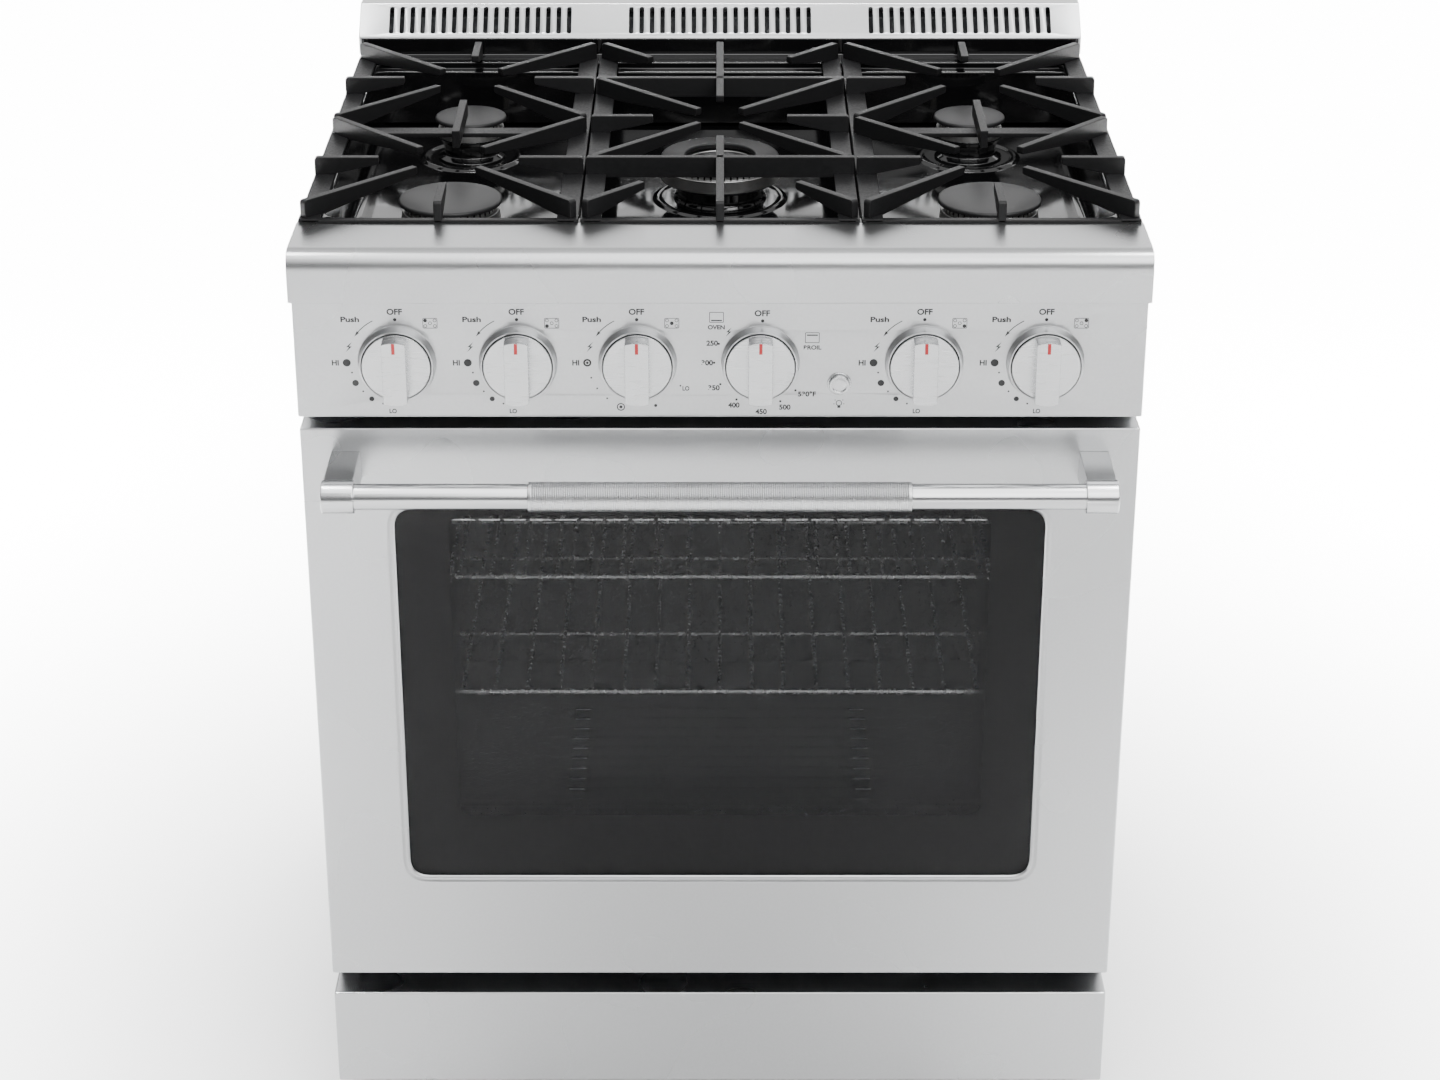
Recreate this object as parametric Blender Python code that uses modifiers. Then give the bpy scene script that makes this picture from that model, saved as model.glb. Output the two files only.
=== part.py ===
"""Freestanding gas range: welded body, sealed five-burner cooktop, oven with a drop-down door.

Frame: metres, +Z up, +X to the right of a person facing the range, front towards -Y.
The origin is on the floor under the centre of the whole range, handle included.
"""

import math

import bmesh
import bpy
from mathutils import Matrix, Vector

# ---------------------------------------------------------------- driving dimensions, in metres
WIDTH = 0.759
DEPTH = 0.740  # front of the handle to the back of the rear panel
GAP = 0.0003  # between two pieces that touch
SHEET = 0.0015  # pressed sheet metal
FLANGE = 0.018  # side panels' folded edges
HANDLE_REACH = 0.085  # door face to the front of the handle
DOOR_DEPTH = 0.050
SEAL_DEPTH = 0.008  # door back to the body's front plane
PANEL_PROUD = 0.004  # control panel in front of the door face
RAIL_PROUD = 0.021  # front rail in front of the control panel
KICK_SETBACK = 0.002

LEG_HEIGHT = 0.033
LEG_X = 0.330
LEG_FRONT = 0.070  # front legs behind the kick plate
LEG_REAR = 0.050  # rear legs before the rear panel
LEG_FIT = 0.0004
STUD_RADIUS = 0.005
STUD_LENGTH = 0.016  # in the base pan
FOOT_RADIUS = 0.017
FOOT_HEIGHT = 0.012
BASE_RISE = 0.020
KICK_HEIGHT = 0.103
DOOR_GAP_LOW = 0.024
DOOR_HEIGHT = 0.578
DOOR_GAP_HIGH = 0.0125
PANEL_HEIGHT = 0.116
RAIL_HEIGHT = 0.047
RAIL_DEPTH = 0.082
RAIL_RADIUS = 0.018

CAVITY_WIDTH = 0.580
CAVITY_HEIGHT = 0.467
CAVITY_DEPTH = 0.462
CAVITY_ABOVE_DOOR = 0.038  # cavity bottom above the door's lower edge
SEAL_INSET = 0.006  # gasket centre line outside the cavity's edge
FRAME_LAP = 0.006  # liner flange behind the control panel and the kick plate

WINDOW_WIDTH = 0.596
WINDOW_HEIGHT = 0.387
WINDOW_ABOVE_DOOR = 0.110
WINDOW_RADIUS = 0.015
GLASS_THICKNESS = 0.004
GLASS_LAP = 0.008  # glass behind the edge of its opening
INNER_PANEL_DEPTH = 0.0077
INNER_PANEL_INSET = 0.0075
INNER_PANEL_RISE = 0.0105  # inner panel's lower edge above the skin's
INNER_WINDOW_WIDTH = 0.510
INNER_WINDOW_HEIGHT = 0.327
INNER_WINDOW_ABOVE_DOOR = 0.168

HANDLE_WIDTH = 0.706
HANDLE_BELOW_DOOR_TOP = 0.0366
BAR_RADIUS = 0.0117
GRIP_RADIUS = 0.0135
GRIP_LENGTH = 0.338
CAP_RADIUS = 0.015
CAP_LENGTH = 0.029
CAP_END = 0.005  # solid end of a cap, past the bar

PIVOT_ABOVE_DOOR = 0.018
PIVOT_BEHIND_FACE = 0.035
PIN_RADIUS = 0.004
HINGE_INSET = 0.0445  # hinge bracket from the range's side
HINGE_SHEET = 0.003  # brackets and arms
HINGE_GAP = 0.002  # between a bracket and its arm
BRACKET_HALF_HEIGHT = 0.006
BRACKET_LENGTH = 0.045  # behind the body's front plane
ARM_HALF_WIDTH = 0.007
ARM_LENGTH = 0.130
SLOT_CLEARANCE = 0.001

GRATE_RISE = 0.020  # cooking plane above the front rail
GRATE_DEPTH = 0.528
GRATE_GAP = 0.002
GRATE_SIDE_MARGIN = 0.002
GRATE_BEHIND_RAIL = 0.0022
STRIP_WIDTH = 0.019
STRIP_THICKNESS = 0.0034
FINGER_WIDTH = 0.0075
TIP_HEIGHT = 0.007

PAN_DROP = 0.064  # cooktop floor under the front rail
PAN_RIM = 0.0215
PAN_FRONT_RIM = 0.0150
PAN_UPSTAND = 0.020
VENT_DEPTH = 0.058
VENT_SLOPE_DEPTH = 0.033
VENT_RISE = 0.048  # vent trim above the front rail
SLOT_COUNT = 18
SLOT_PITCH = 0.011
SLOT_WIDTH = 0.0049
SLOT_LENGTH = 0.034

BURNER_SPREAD = 0.131  # side burners before and behind the grates' centre line
CAP_TOP_BELOW_GRATE = 0.039
LARGE_CAP = 0.0485
SMALL_CAP = 0.036
RING_CAP = 0.0575
RING_CAP_HOLE = 0.034
INNER_CAP = 0.018
CAP_THICKNESS = 0.005
SPIGOT_RADIUS = 0.019
CENTRE_SPIGOT_RADIUS = 0.030
SPIGOT_DEPTH = 0.014
HEAD_FIT = 0.0006  # spigot of a burner head in the pan's hole

KNOB_Z_ABOVE_PANEL = 0.0525
KNOB_X = (-0.288, -0.180, -0.0735, 0.182, 0.290)
OVEN_KNOB_X = 0.036
KNOB_RADIUS = 0.0305
KNOB_GRIP_WIDTH = 0.022
KNOB_FACE = 0.0125  # disc face in front of the panel
KNOB_GRIP_FACE = 0.030
KNOB_TRAVEL = 0.0035
COLLAR_FIT = 0.0010  # collar bore around the knob
COLLAR_ROOT_WALL = 0.0033
COLLAR_TOP_WALL = 0.0015
COLLAR_HEIGHT = 0.011
STEM_RADIUS = 0.004
STEM_FIT = 0.0003
STEM_REACH = 0.020  # stem's tip in front of the panel's face
STEM_IN_VALVE = 0.020
VALVE_SETBACK = 0.020  # valve bodies behind the panel's face
VALVE_RADIUS = 0.011
BUTTON_X = 0.1067
BUTTON_BELOW_KNOBS = 0.020
BUTTON_RADIUS = 0.009
BUTTON_TRAVEL = 0.0025
BUTTON_FLANGE = 0.003
STOP_CLEARANCE = 0.0025  # what is left in front of a stop when a control is pushed in
PIPE_X = 0.335
PIPE_Z = 0.118
PIPE_RADIUS = 0.008

RACK_PITCH = 0.031
RACK_WIRE = 0.0036
RACK_FRAME = 0.0050
RACK_HEIGHTS = (0.271, 0.394)  # rack frame above the door's lower edge
RACK_SIDE_CLEARANCE = 0.006
RACK_FRONT_SETBACK = 0.016
RACK_DEPTH = 0.430
LEDGE_DEPTH = 0.012
LEDGE_HEIGHT = 0.006
LAMP_X = 0.200
LAMP_BELOW_CEILING = 0.060
LAMP_RADIUS = 0.026
TUBE_BURNER_RADIUS = 0.008

# ---------------------------------------------------------------- planes worked out from them
HANDLE_FRONT = -DEPTH / 2
REAR = DEPTH / 2
DOOR_FACE = HANDLE_FRONT + HANDLE_REACH
DOOR_BACK = DOOR_FACE + DOOR_DEPTH
BODY_FRONT = DOOR_BACK + SEAL_DEPTH
PANEL_FACE = DOOR_FACE - PANEL_PROUD
RAIL_FACE = PANEL_FACE - RAIL_PROUD
RAIL_BACK = RAIL_FACE + RAIL_DEPTH
KICK_FACE = DOOR_FACE + KICK_SETBACK
BACKS = REAR - SHEET - GAP  # rear ends of what the rear panel closes

KICK_TOP = LEG_HEIGHT + KICK_HEIGHT
DOOR_LOW = KICK_TOP + DOOR_GAP_LOW
DOOR_TOP = DOOR_LOW + DOOR_HEIGHT
PANEL_LOW = DOOR_TOP + DOOR_GAP_HIGH
PANEL_TOP = PANEL_LOW + PANEL_HEIGHT
RAIL_LOW = PANEL_TOP + GAP
RAIL_TOP = RAIL_LOW + RAIL_HEIGHT
RIM_TOP = RAIL_TOP - GAP
GRATE_TOP = RAIL_TOP + GRATE_RISE
SIDE_TOP = RIM_TOP - SHEET - 2 * GAP
PAN_FLOOR = RAIL_TOP - PAN_DROP
VENT_FRONT = REAR - VENT_DEPTH
PAN_BACK = VENT_FRONT - GAP - SHEET

CAVITY_LOW = DOOR_LOW + CAVITY_ABOVE_DOOR
CAVITY_TOP = CAVITY_LOW + CAVITY_HEIGHT
CAVITY_BACK = BODY_FRONT + CAVITY_DEPTH
WINDOW_LOW = DOOR_LOW + WINDOW_ABOVE_DOOR
INNER_WINDOW_LOW = DOOR_LOW + INNER_WINDOW_ABOVE_DOOR
PIVOT_Y = DOOR_FACE + PIVOT_BEHIND_FACE
PIVOT_Z = DOOR_LOW + PIVOT_ABOVE_DOOR
HINGE_X = WIDTH / 2 - HINGE_INSET
HANDLE_Y = HANDLE_FRONT + CAP_RADIUS
HANDLE_Z = DOOR_TOP - HANDLE_BELOW_DOOR_TOP

GRATE_FRONT = RAIL_BACK - GRATE_BEHIND_RAIL
GRATE_Y = GRATE_FRONT + GRATE_DEPTH / 2
GRATE_WIDTH = (WIDTH - 2 * GRATE_SIDE_MARGIN - 2 * GRATE_GAP) / 3
GRATE_PITCH = GRATE_WIDTH + GRATE_GAP
CAP_TOP = GRATE_TOP - CAP_TOP_BELOW_GRATE
KNOB_Z = PANEL_LOW + KNOB_Z_ABOVE_PANEL
BUTTON_Z = KNOB_Z - BUTTON_BELOW_KNOBS
KNOB_BACK = KNOB_TRAVEL + STOP_CLEARANCE
BUTTON_FACE = BUTTON_TRAVEL + STOP_CLEARANCE
STEM_BORE = STEM_IN_VALVE + KNOB_TRAVEL + STOP_CLEARANCE  # depth of a valve body's bore
COLLAR_BORE = KNOB_RADIUS + COLLAR_FIT
INNER_PANEL_FRONT = DOOR_BACK - INNER_PANEL_DEPTH
SKIN_BACK = INNER_PANEL_FRONT - GAP

ROUND = 20  # sides of a large turned piece
SMALL_ROUND = 16
STUD_ROUND = 12
OFFSET = 0.0004  # keeps faces of pieces that are joined out of one plane


# ---------------------------------------------------------------- scene, materials and helpers
def clear_scene():
    for obj in list(bpy.data.objects):
        bpy.data.objects.remove(obj)


def new_collection(name):
    collection = bpy.data.collections.new(name)
    bpy.context.scene.collection.children.link(collection)
    return collection


def linear(channel):
    """One sRGB channel, 0 to 1, as the linear value that a shader takes."""
    return channel / 12.92 if channel <= 0.04045 else ((channel + 0.055) / 1.055) ** 2.4


def make_material(name, hex_colour, roughness, metallic):
    material = bpy.data.materials.new(name)
    material.use_nodes = True
    shader = material.node_tree.nodes["Principled BSDF"]
    rgb = [linear(int(hex_colour[i : i + 2], 16) / 255) for i in (1, 3, 5)]
    shader.inputs["Base Color"].default_value = (*rgb, 1)
    shader.inputs["Roughness"].default_value = roughness
    shader.inputs["Metallic"].default_value = metallic
    return material


def new_object(bm, name="tool"):
    """A mesh object of a bmesh, in the collection of helpers."""
    mesh = bpy.data.meshes.new(name)
    bm.to_mesh(mesh)
    bm.free()
    obj = bpy.data.objects.new(name, mesh)
    helpers.objects.link(obj)
    obj.display_type = "WIRE"
    obj.hide_render = True
    return obj


def box(low, high):
    """A box object between two corners."""
    bm = bmesh.new()
    add_box(bm, low, high)
    return new_object(bm)


def add_box(bm, low, high):
    """A box between two corners, added to a bmesh. Returns its vertices."""
    low, high = Vector(low), Vector(high)
    place = Matrix.Translation((low + high) / 2) @ Matrix.Diagonal((*(high - low), 1))
    return bmesh.ops.create_cube(bm, size=1, matrix=place)["verts"]


def along(axis):
    """The rotation that turns +Z onto an axis."""
    return Vector((0, 0, 1)).rotation_difference(Vector(axis)).to_matrix().to_4x4()


def cylinder(start, axis, length, radius, end_radius=None, sides=SMALL_ROUND):
    """A closed cylinder or cone that begins at start and runs along axis."""
    bm = bmesh.new()
    turn = along(axis)
    middle = Vector(start) + turn @ Vector((0, 0, length / 2))
    bmesh.ops.create_cone(
        bm,
        cap_ends=True,
        segments=sides,
        radius1=radius,
        radius2=radius if end_radius is None else end_radius,
        depth=length,
        matrix=Matrix.Translation(middle) @ turn,
    )
    return new_object(bm)


def through(centre, radius, sides=ROUND):
    """A cutter along Y for a round hole in a sheet that faces the front."""
    reach = 10 * SHEET
    start = (centre[0], centre[1] - reach, centre[2])
    return cylinder(start, (0, 1, 0), 2 * reach, radius, sides=sides)


def rounded_rectangle(width, height, radius, steps=4):
    """The corner points of a rounded rectangle round the origin, anticlockwise."""
    points = []
    for corner in range(4):
        sx, sy = ((1, 1), (-1, 1), (-1, -1), (1, -1))[corner]
        for step in range(steps + 1):
            angle = math.radians(90 * corner + 90 * step / steps)
            x = sx * (width / 2 - radius) + radius * math.cos(angle)
            y = sy * (height / 2 - radius) + radius * math.sin(angle)
            points.append((x, y))
    return points


def prism(outline, start, end, place):
    """A flat outline (u, v) swept between two heights; place turns (u, v, height) into a point."""
    bm = bmesh.new()
    face = bm.faces.new([bm.verts.new(place(u, v, start)) for u, v in outline])
    swept = bmesh.ops.extrude_face_region(bm, geom=[face])["geom"]
    shift = Vector(place(0, 0, end)) - Vector(place(0, 0, start))
    bmesh.ops.translate(bm, verts=[v for v in swept if isinstance(v, bmesh.types.BMVert)], vec=shift)
    bmesh.ops.recalc_face_normals(bm, faces=bm.faces)
    return new_object(bm)


def upright(u, v, height):
    """A plan on the range's front: u across, v up, height towards the rear."""
    return (u, height, v)


def upright_plate(width, height, radius, middle_z, front, back):
    """A rounded plate that faces the front."""
    outline = [(x, z + middle_z) for x, z in rounded_rectangle(width, height, radius)]
    return prism(outline, front, back, upright)


def turned(profile, place, name="turned", sides=ROUND):
    """A Screw of a profile (radius, height) that runs down its outer side; place is its matrix."""
    bm = bmesh.new()
    verts = [bm.verts.new((radius, 0, height)) for radius, height in profile]
    for first, second in zip(verts, verts[1:]):
        bm.edges.new((first, second))
    obj = new_object(bm, name)
    screw = obj.modifiers.new("Turn", "SCREW")
    screw.steps = screw.render_steps = sides
    screw.use_merge_vertices = True
    screw.merge_threshold = 0.00001
    settle(obj)
    obj.data.transform(place)
    return obj


def shell(obj, thickness=SHEET):
    """Gives an open surface a wall that grows inwards."""
    solidify = obj.modifiers.new("Wall", "SOLIDIFY")
    solidify.thickness = thickness
    solidify.offset = -1
    solidify.use_even_offset = True
    return obj


def channel(profile, half_width):
    """The open surface of a profile (y, z) swept across X, with both ends closed.

    The side from the profile's last point to its first stays open.
    """
    bm = bmesh.new()
    end = bm.faces.new([bm.verts.new((-half_width, y, z)) for y, z in profile])
    swept = bmesh.ops.extrude_face_region(bm, geom=[end])["geom"]
    far = [v for v in swept if isinstance(v, bmesh.types.BMVert)]
    bmesh.ops.translate(bm, verts=far, vec=(2 * half_width, 0, 0))
    (y0, z0), (y1, z1) = profile[0], profile[-1]
    middle = Vector((0, (y0 + y1) / 2, (z0 + z1) / 2))
    opening = min(bm.faces, key=lambda f: (f.calc_center_median() - middle).length)
    bmesh.ops.delete(bm, geom=[opening], context="FACES_ONLY")
    bmesh.ops.recalc_face_normals(bm, faces=bm.faces)
    return bm


def face_outwards(bm, point, direction):
    """Turns every face round if the face nearest to point looks against direction."""
    nearest = min(bm.faces, key=lambda f: (f.calc_center_median() - Vector(point)).length)
    if nearest.normal.dot(Vector(direction)) < 0:
        bmesh.ops.reverse_faces(bm, faces=bm.faces)


def tray(low, high, open_axis, open_side):
    """An open box: the surface of a box without the face on one side of an axis."""
    bm = bmesh.new()
    add_box(bm, low, high)
    bm.normal_update()
    lid = [f for f in bm.faces if f.normal[open_axis] * open_side > 0.5]
    bmesh.ops.delete(bm, geom=lid, context="FACES_ONLY")
    return bm


def boolean(target, tool, operation="DIFFERENCE"):
    """Cuts target with tool, or joins them."""
    step = target.modifiers.new(operation.title(), "BOOLEAN")
    step.operation = operation
    step.solver = "EXACT"
    step.object = tool
    return target


def cut(target, *tools):
    for tool in tools:
        boolean(target, tool)
    return target


def join(target, *tools):
    for tool in tools:
        boolean(target, tool, "UNION")
    return target


def settle(obj):
    """Makes an object's modifiers part of its mesh, and removes the tools that they used."""
    tools = [m.object for m in obj.modifiers if m.type == "BOOLEAN"]
    bpy.context.view_layer.update()
    graph = bpy.context.evaluated_depsgraph_get()
    mesh = bpy.data.meshes.new_from_object(obj.evaluated_get(graph))
    obj.modifiers.clear()
    obj.data = mesh
    for tool in tools:
        bpy.data.objects.remove(tool)
    return obj


def publish(obj, name, material, origin=(0, 0, 0), smooth=None):
    """Turns a helper into a part of the range, with its origin on the joint that moves it."""
    helpers.objects.unlink(obj)
    parts.objects.link(obj)
    obj.name = name
    obj.data.name = name
    obj.hide_render = False
    obj.display_type = "TEXTURED"
    obj.data.transform(Matrix.Translation(-Vector(origin)))
    obj.location = origin
    obj.data.materials.clear()
    obj.data.materials.append(material)
    if smooth is not None:
        obj.data.shade_smooth()
        obj.data.set_sharp_from_angle(angle=math.radians(smooth))
    return obj


def copy_part(obj, name, origin):
    """A second object on the same mesh, at its own place."""
    twin = bpy.data.objects.new(name, obj.data)
    parts.objects.link(twin)
    twin.location = origin
    return twin


def mirror_x(obj):
    """A helper's mesh mirrored to the other side of the range."""
    twin = bpy.data.objects.new("tool", obj.data.copy())
    helpers.objects.link(twin)
    twin.data.transform(Matrix.Diagonal((-1, 1, 1, 1)))
    twin.data.flip_normals()
    return twin


def carrier(name, location):
    """An empty on a joint's axis, for the pieces that move together."""
    empty = bpy.data.objects.new(name, None)
    parts.objects.link(empty)
    empty.location = location
    return empty


def carry(empty, *objects):
    for obj in objects:
        obj.parent = empty
        obj.matrix_parent_inverse = Matrix.Translation(empty.location).inverted()


def tube(points, radius, cyclic=False, resolution=1):
    """A wire or tube through a list of points, as a closed mesh."""
    data = bpy.data.curves.new("tube", "CURVE")
    data.dimensions = "3D"
    data.bevel_depth = radius
    data.bevel_resolution = resolution
    data.use_fill_caps = True
    line = data.splines.new("POLY")
    line.points.add(len(points) - 1)
    for point, place in zip(line.points, points):
        point.co = (*place, 1)
    line.use_cyclic_u = cyclic
    curve = bpy.data.objects.new("tube", data)
    helpers.objects.link(curve)
    bpy.context.view_layer.update()
    graph = bpy.context.evaluated_depsgraph_get()
    bm = bmesh.new()
    bm.from_mesh(bpy.data.meshes.new_from_object(curve.evaluated_get(graph)))
    bmesh.ops.remove_doubles(bm, verts=bm.verts, dist=0.00001)
    bmesh.ops.recalc_face_normals(bm, faces=bm.faces)
    bpy.data.objects.remove(curve)
    return new_object(bm)


# ---------------------------------------------------------------- body
def make_side_panels():
    """A side sheet with a flange folded inwards along its front and rear edges."""
    half = WIDTH / 2
    inner = half - FLANGE
    profile = [(inner, BODY_FRONT), (half, BODY_FRONT), (half, BACKS), (inner, BACKS)]
    bm = bmesh.new()
    verts = [bm.verts.new((x, y, LEG_HEIGHT)) for x, y in profile]
    edges = [bm.edges.new(pair) for pair in zip(verts, verts[1:])]
    swept = bmesh.ops.extrude_edge_only(bm, edges=edges)["geom"]
    top = [v for v in swept if isinstance(v, bmesh.types.BMVert)]
    bmesh.ops.translate(bm, verts=top, vec=(0, 0, SIDE_TOP - LEG_HEIGHT))
    bmesh.ops.recalc_face_normals(bm, faces=bm.faces)
    face_outwards(bm, (half, 0, RAIL_TOP / 2), (1, 0, 0))
    right = settle(shell(new_object(bm)))
    left = mirror_x(right)
    publish(right, "side_panel_right", painted_side)
    publish(left, "side_panel_left", painted_side)


def make_rear_panel():
    """A flat sheet that closes the back, with a hole for the gas supply."""
    below_trim = 0.0125
    clearance = 0.004
    panel = box((-WIDTH / 2, REAR - SHEET, LEG_HEIGHT), (WIDTH / 2, REAR, RAIL_TOP - below_trim))
    hole = through((PIPE_X, REAR, PIPE_Z), PIPE_RADIUS + clearance)
    publish(cut(panel, hole), "rear_panel", galvanised)


def leg_places():
    for x, side in ((-LEG_X, "left"), (LEG_X, "right")):
        yield f"leg_front_{side}", x, KICK_FACE + LEG_FRONT
        yield f"leg_rear_{side}", x, REAR - LEG_REAR


def make_base_pan():
    """The tray that carries the legs, with one hole for each threaded stud."""
    side = WIDTH / 2 - SHEET - GAP
    low = (-side, BODY_FRONT + SHEET + GAP, LEG_HEIGHT)
    bm = tray(low, (side, BACKS - SHEET - GAP, LEG_HEIGHT + BASE_RISE), 2, 1)
    pan = shell(new_object(bm))
    for _, x, y in leg_places():
        cut(pan, cylinder((x, y, 0), (0, 0, 1), 0.1, STUD_RADIUS + LEG_FIT))
    publish(pan, "base_pan", galvanised)


def make_legs():
    """A foot with a hexagonal collar and a stud that screws into the base pan."""
    top = LEG_HEIGHT + STUD_LENGTH
    collar = LEG_HEIGHT - GAP
    neck = 0.6 * FOOT_RADIUS
    profile = [
        (0, top),
        (STUD_RADIUS, top),
        (STUD_RADIUS, collar),
        (neck, collar),
        (neck, FOOT_HEIGHT),
        (FOOT_RADIUS, FOOT_HEIGHT - 0.002),
        (FOOT_RADIUS, 0),
        (0, 0),
    ]
    first = None
    for name, x, y in leg_places():
        if first is None:
            first = turned(profile, Matrix.Identity(4), sides=STUD_ROUND)
            publish(first, name, black_plastic, smooth=30)
            first.location = (x, y, 0)
        else:
            copy_part(first, name, (x, y, 0))


def make_kick_plate():
    """A pressed strip under the door, folded back along its top and bottom."""
    back = BODY_FRONT - GAP
    low, top = LEG_HEIGHT, KICK_TOP
    bm = channel([(back, low), (KICK_FACE, low), (KICK_FACE, top), (back, top)], WIDTH / 2)
    face_outwards(bm, (0, KICK_FACE, (low + top) / 2), (0, -1, 0))
    publish(shell(new_object(bm)), "kick_plate", stainless)


def make_front_rail():
    """The rounded rail above the control panel, closed at both ends."""
    profile = [(PANEL_FACE, RAIL_LOW), (RAIL_FACE, RAIL_LOW)]
    steps = 6
    for step in range(steps + 1):
        angle = math.radians(180 - 90 * step / steps)
        y = RAIL_FACE + RAIL_RADIUS + RAIL_RADIUS * math.cos(angle)
        z = RAIL_TOP - RAIL_RADIUS + RAIL_RADIUS * math.sin(angle)
        profile.append((y, z))
    profile += [(RAIL_BACK, RAIL_TOP), (RAIL_BACK, RAIL_LOW)]
    bm = channel(profile, WIDTH / 2)
    face_outwards(bm, (0, RAIL_FACE, RAIL_LOW + 0.01), (0, -1, 0))
    publish(shell(new_object(bm)), "front_rail", stainless, smooth=35)


def make_control_panel():
    """The pressed panel with a raised collar round each knob and a hole for each stem."""
    low = (-WIDTH / 2, PANEL_FACE, PANEL_LOW)
    bm = tray(low, (WIDTH / 2, BODY_FRONT - GAP, PANEL_TOP), 1, 1)
    panel = settle(shell(new_object(bm)))
    radii = COLLAR_BORE + COLLAR_ROOT_WALL, COLLAR_BORE + COLLAR_TOP_WALL
    for x in (*KNOB_X, OVEN_KNOB_X):
        root = (x, PANEL_FACE + SHEET / 2, KNOB_Z)
        collar = cylinder(root, (0, -1, 0), COLLAR_HEIGHT + SHEET / 2, *radii, ROUND)
        bore_start = (x, PANEL_FACE - GAP, KNOB_Z)
        cut(collar, cylinder(bore_start, (0, -1, 0), 2 * COLLAR_HEIGHT, COLLAR_BORE, sides=ROUND))
        join(panel, settle(collar))
        cut(panel, through((x, PANEL_FACE, KNOB_Z), STEM_RADIUS + STEM_FIT, STUD_ROUND))
    cut(panel, through((BUTTON_X, PANEL_FACE, BUTTON_Z), BUTTON_RADIUS + STEM_FIT, SMALL_ROUND))
    publish(settle(panel), "control_panel", stainless, smooth=35)


# ---------------------------------------------------------------- cooktop
def burner_places():
    """Each burner's name, centre and cap radius."""
    front, rear = GRATE_Y - BURNER_SPREAD, GRATE_Y + BURNER_SPREAD
    yield "left_rear", -GRATE_PITCH, rear, SMALL_CAP
    yield "left_front", -GRATE_PITCH, front, LARGE_CAP
    yield "right_front", GRATE_PITCH, front, LARGE_CAP
    yield "right_rear", GRATE_PITCH, rear, SMALL_CAP


def make_cooktop_pan():
    """The deep enamelled pan with a flat rim, an upstand at the rear and a hole for each burner."""
    half = WIDTH / 2 - 0.001
    inner = (-half + PAN_RIM, RAIL_BACK + GAP + PAN_FRONT_RIM, PAN_FLOOR)
    bm = tray(inner, (half - PAN_RIM, PAN_BACK - PAN_RIM, RIM_TOP), 2, 1)
    rim = [e for e in bm.edges if e.is_boundary]
    swept = bmesh.ops.extrude_edge_only(bm, edges=rim)["geom"]
    outer = [v for v in swept if isinstance(v, bmesh.types.BMVert)]
    for vert in outer:
        vert.co.x = math.copysign(half, vert.co.x)
        vert.co.y = RAIL_BACK + GAP if vert.co.y < 0 else PAN_BACK
    back = [e for e in bm.edges if e.is_boundary and all(v.co.y > PAN_BACK - 0.001 for v in e.verts)]
    swept = bmesh.ops.extrude_edge_only(bm, edges=back)["geom"]
    upper = [v for v in swept if isinstance(v, bmesh.types.BMVert)]
    bmesh.ops.translate(bm, verts=upper, vec=(0, 0, PAN_UPSTAND))
    bmesh.ops.recalc_face_normals(bm, faces=bm.faces)
    face_outwards(bm, (0, 0, PAN_FLOOR), (0, 0, 1))
    pan = settle(shell(new_object(bm)))
    holes = [(x, y, SPIGOT_RADIUS) for _, x, y, _ in burner_places()]
    holes.append((0, GRATE_Y, CENTRE_SPIGOT_RADIUS))
    for x, y, radius in holes:
        start = (x, y, PAN_FLOOR - SPIGOT_DEPTH)
        cut(pan, cylinder(start, (0, 0, 1), 2 * SPIGOT_DEPTH, radius + HEAD_FIT, sides=ROUND))
    publish(settle(pan), "cooktop_pan", enamel)


def make_side_burner(name, x, y, cap_radius):
    """A turned aluminium head on a spigot through the pan, and its loose cast cap."""
    under_cap = CAP_TOP - CAP_THICKNESS - GAP
    skirt = cap_radius - 0.006
    seat = PAN_FLOOR + GAP
    head = [
        (0, under_cap - 0.006),
        (skirt - 0.010, under_cap - 0.006),
        (skirt - 0.006, under_cap),
        (skirt, under_cap),
        (skirt + 0.002, under_cap - 0.010),
        (skirt + 0.004, under_cap - 0.012),
        (skirt + 0.004, seat + 0.006),
        (skirt + 0.008, seat + 0.003),
        (skirt + 0.008, seat),
        (SPIGOT_RADIUS, seat),
        (SPIGOT_RADIUS, PAN_FLOOR - SPIGOT_DEPTH),
        (0, PAN_FLOOR - SPIGOT_DEPTH),
    ]
    at = Matrix.Translation((x, y, 0))
    publish(turned(head, at, sides=SMALL_ROUND), f"burner_head_{name}", aluminium, smooth=35)
    cap = [
        (0, CAP_TOP),
        (cap_radius - 0.004, CAP_TOP - 0.0006),
        (cap_radius - 0.001, CAP_TOP - 0.002),
        (cap_radius, CAP_TOP - CAP_THICKNESS),
        (skirt - 0.008, CAP_TOP - CAP_THICKNESS),
        (skirt - 0.011, CAP_TOP - CAP_THICKNESS - 0.004),
        (0, CAP_TOP - CAP_THICKNESS - 0.004),
    ]
    piece = turned(cap, at, sides=ROUND)
    publish(piece, f"burner_cap_{name}", cast_cap, (x, y, CAP_TOP), smooth=35)


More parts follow.
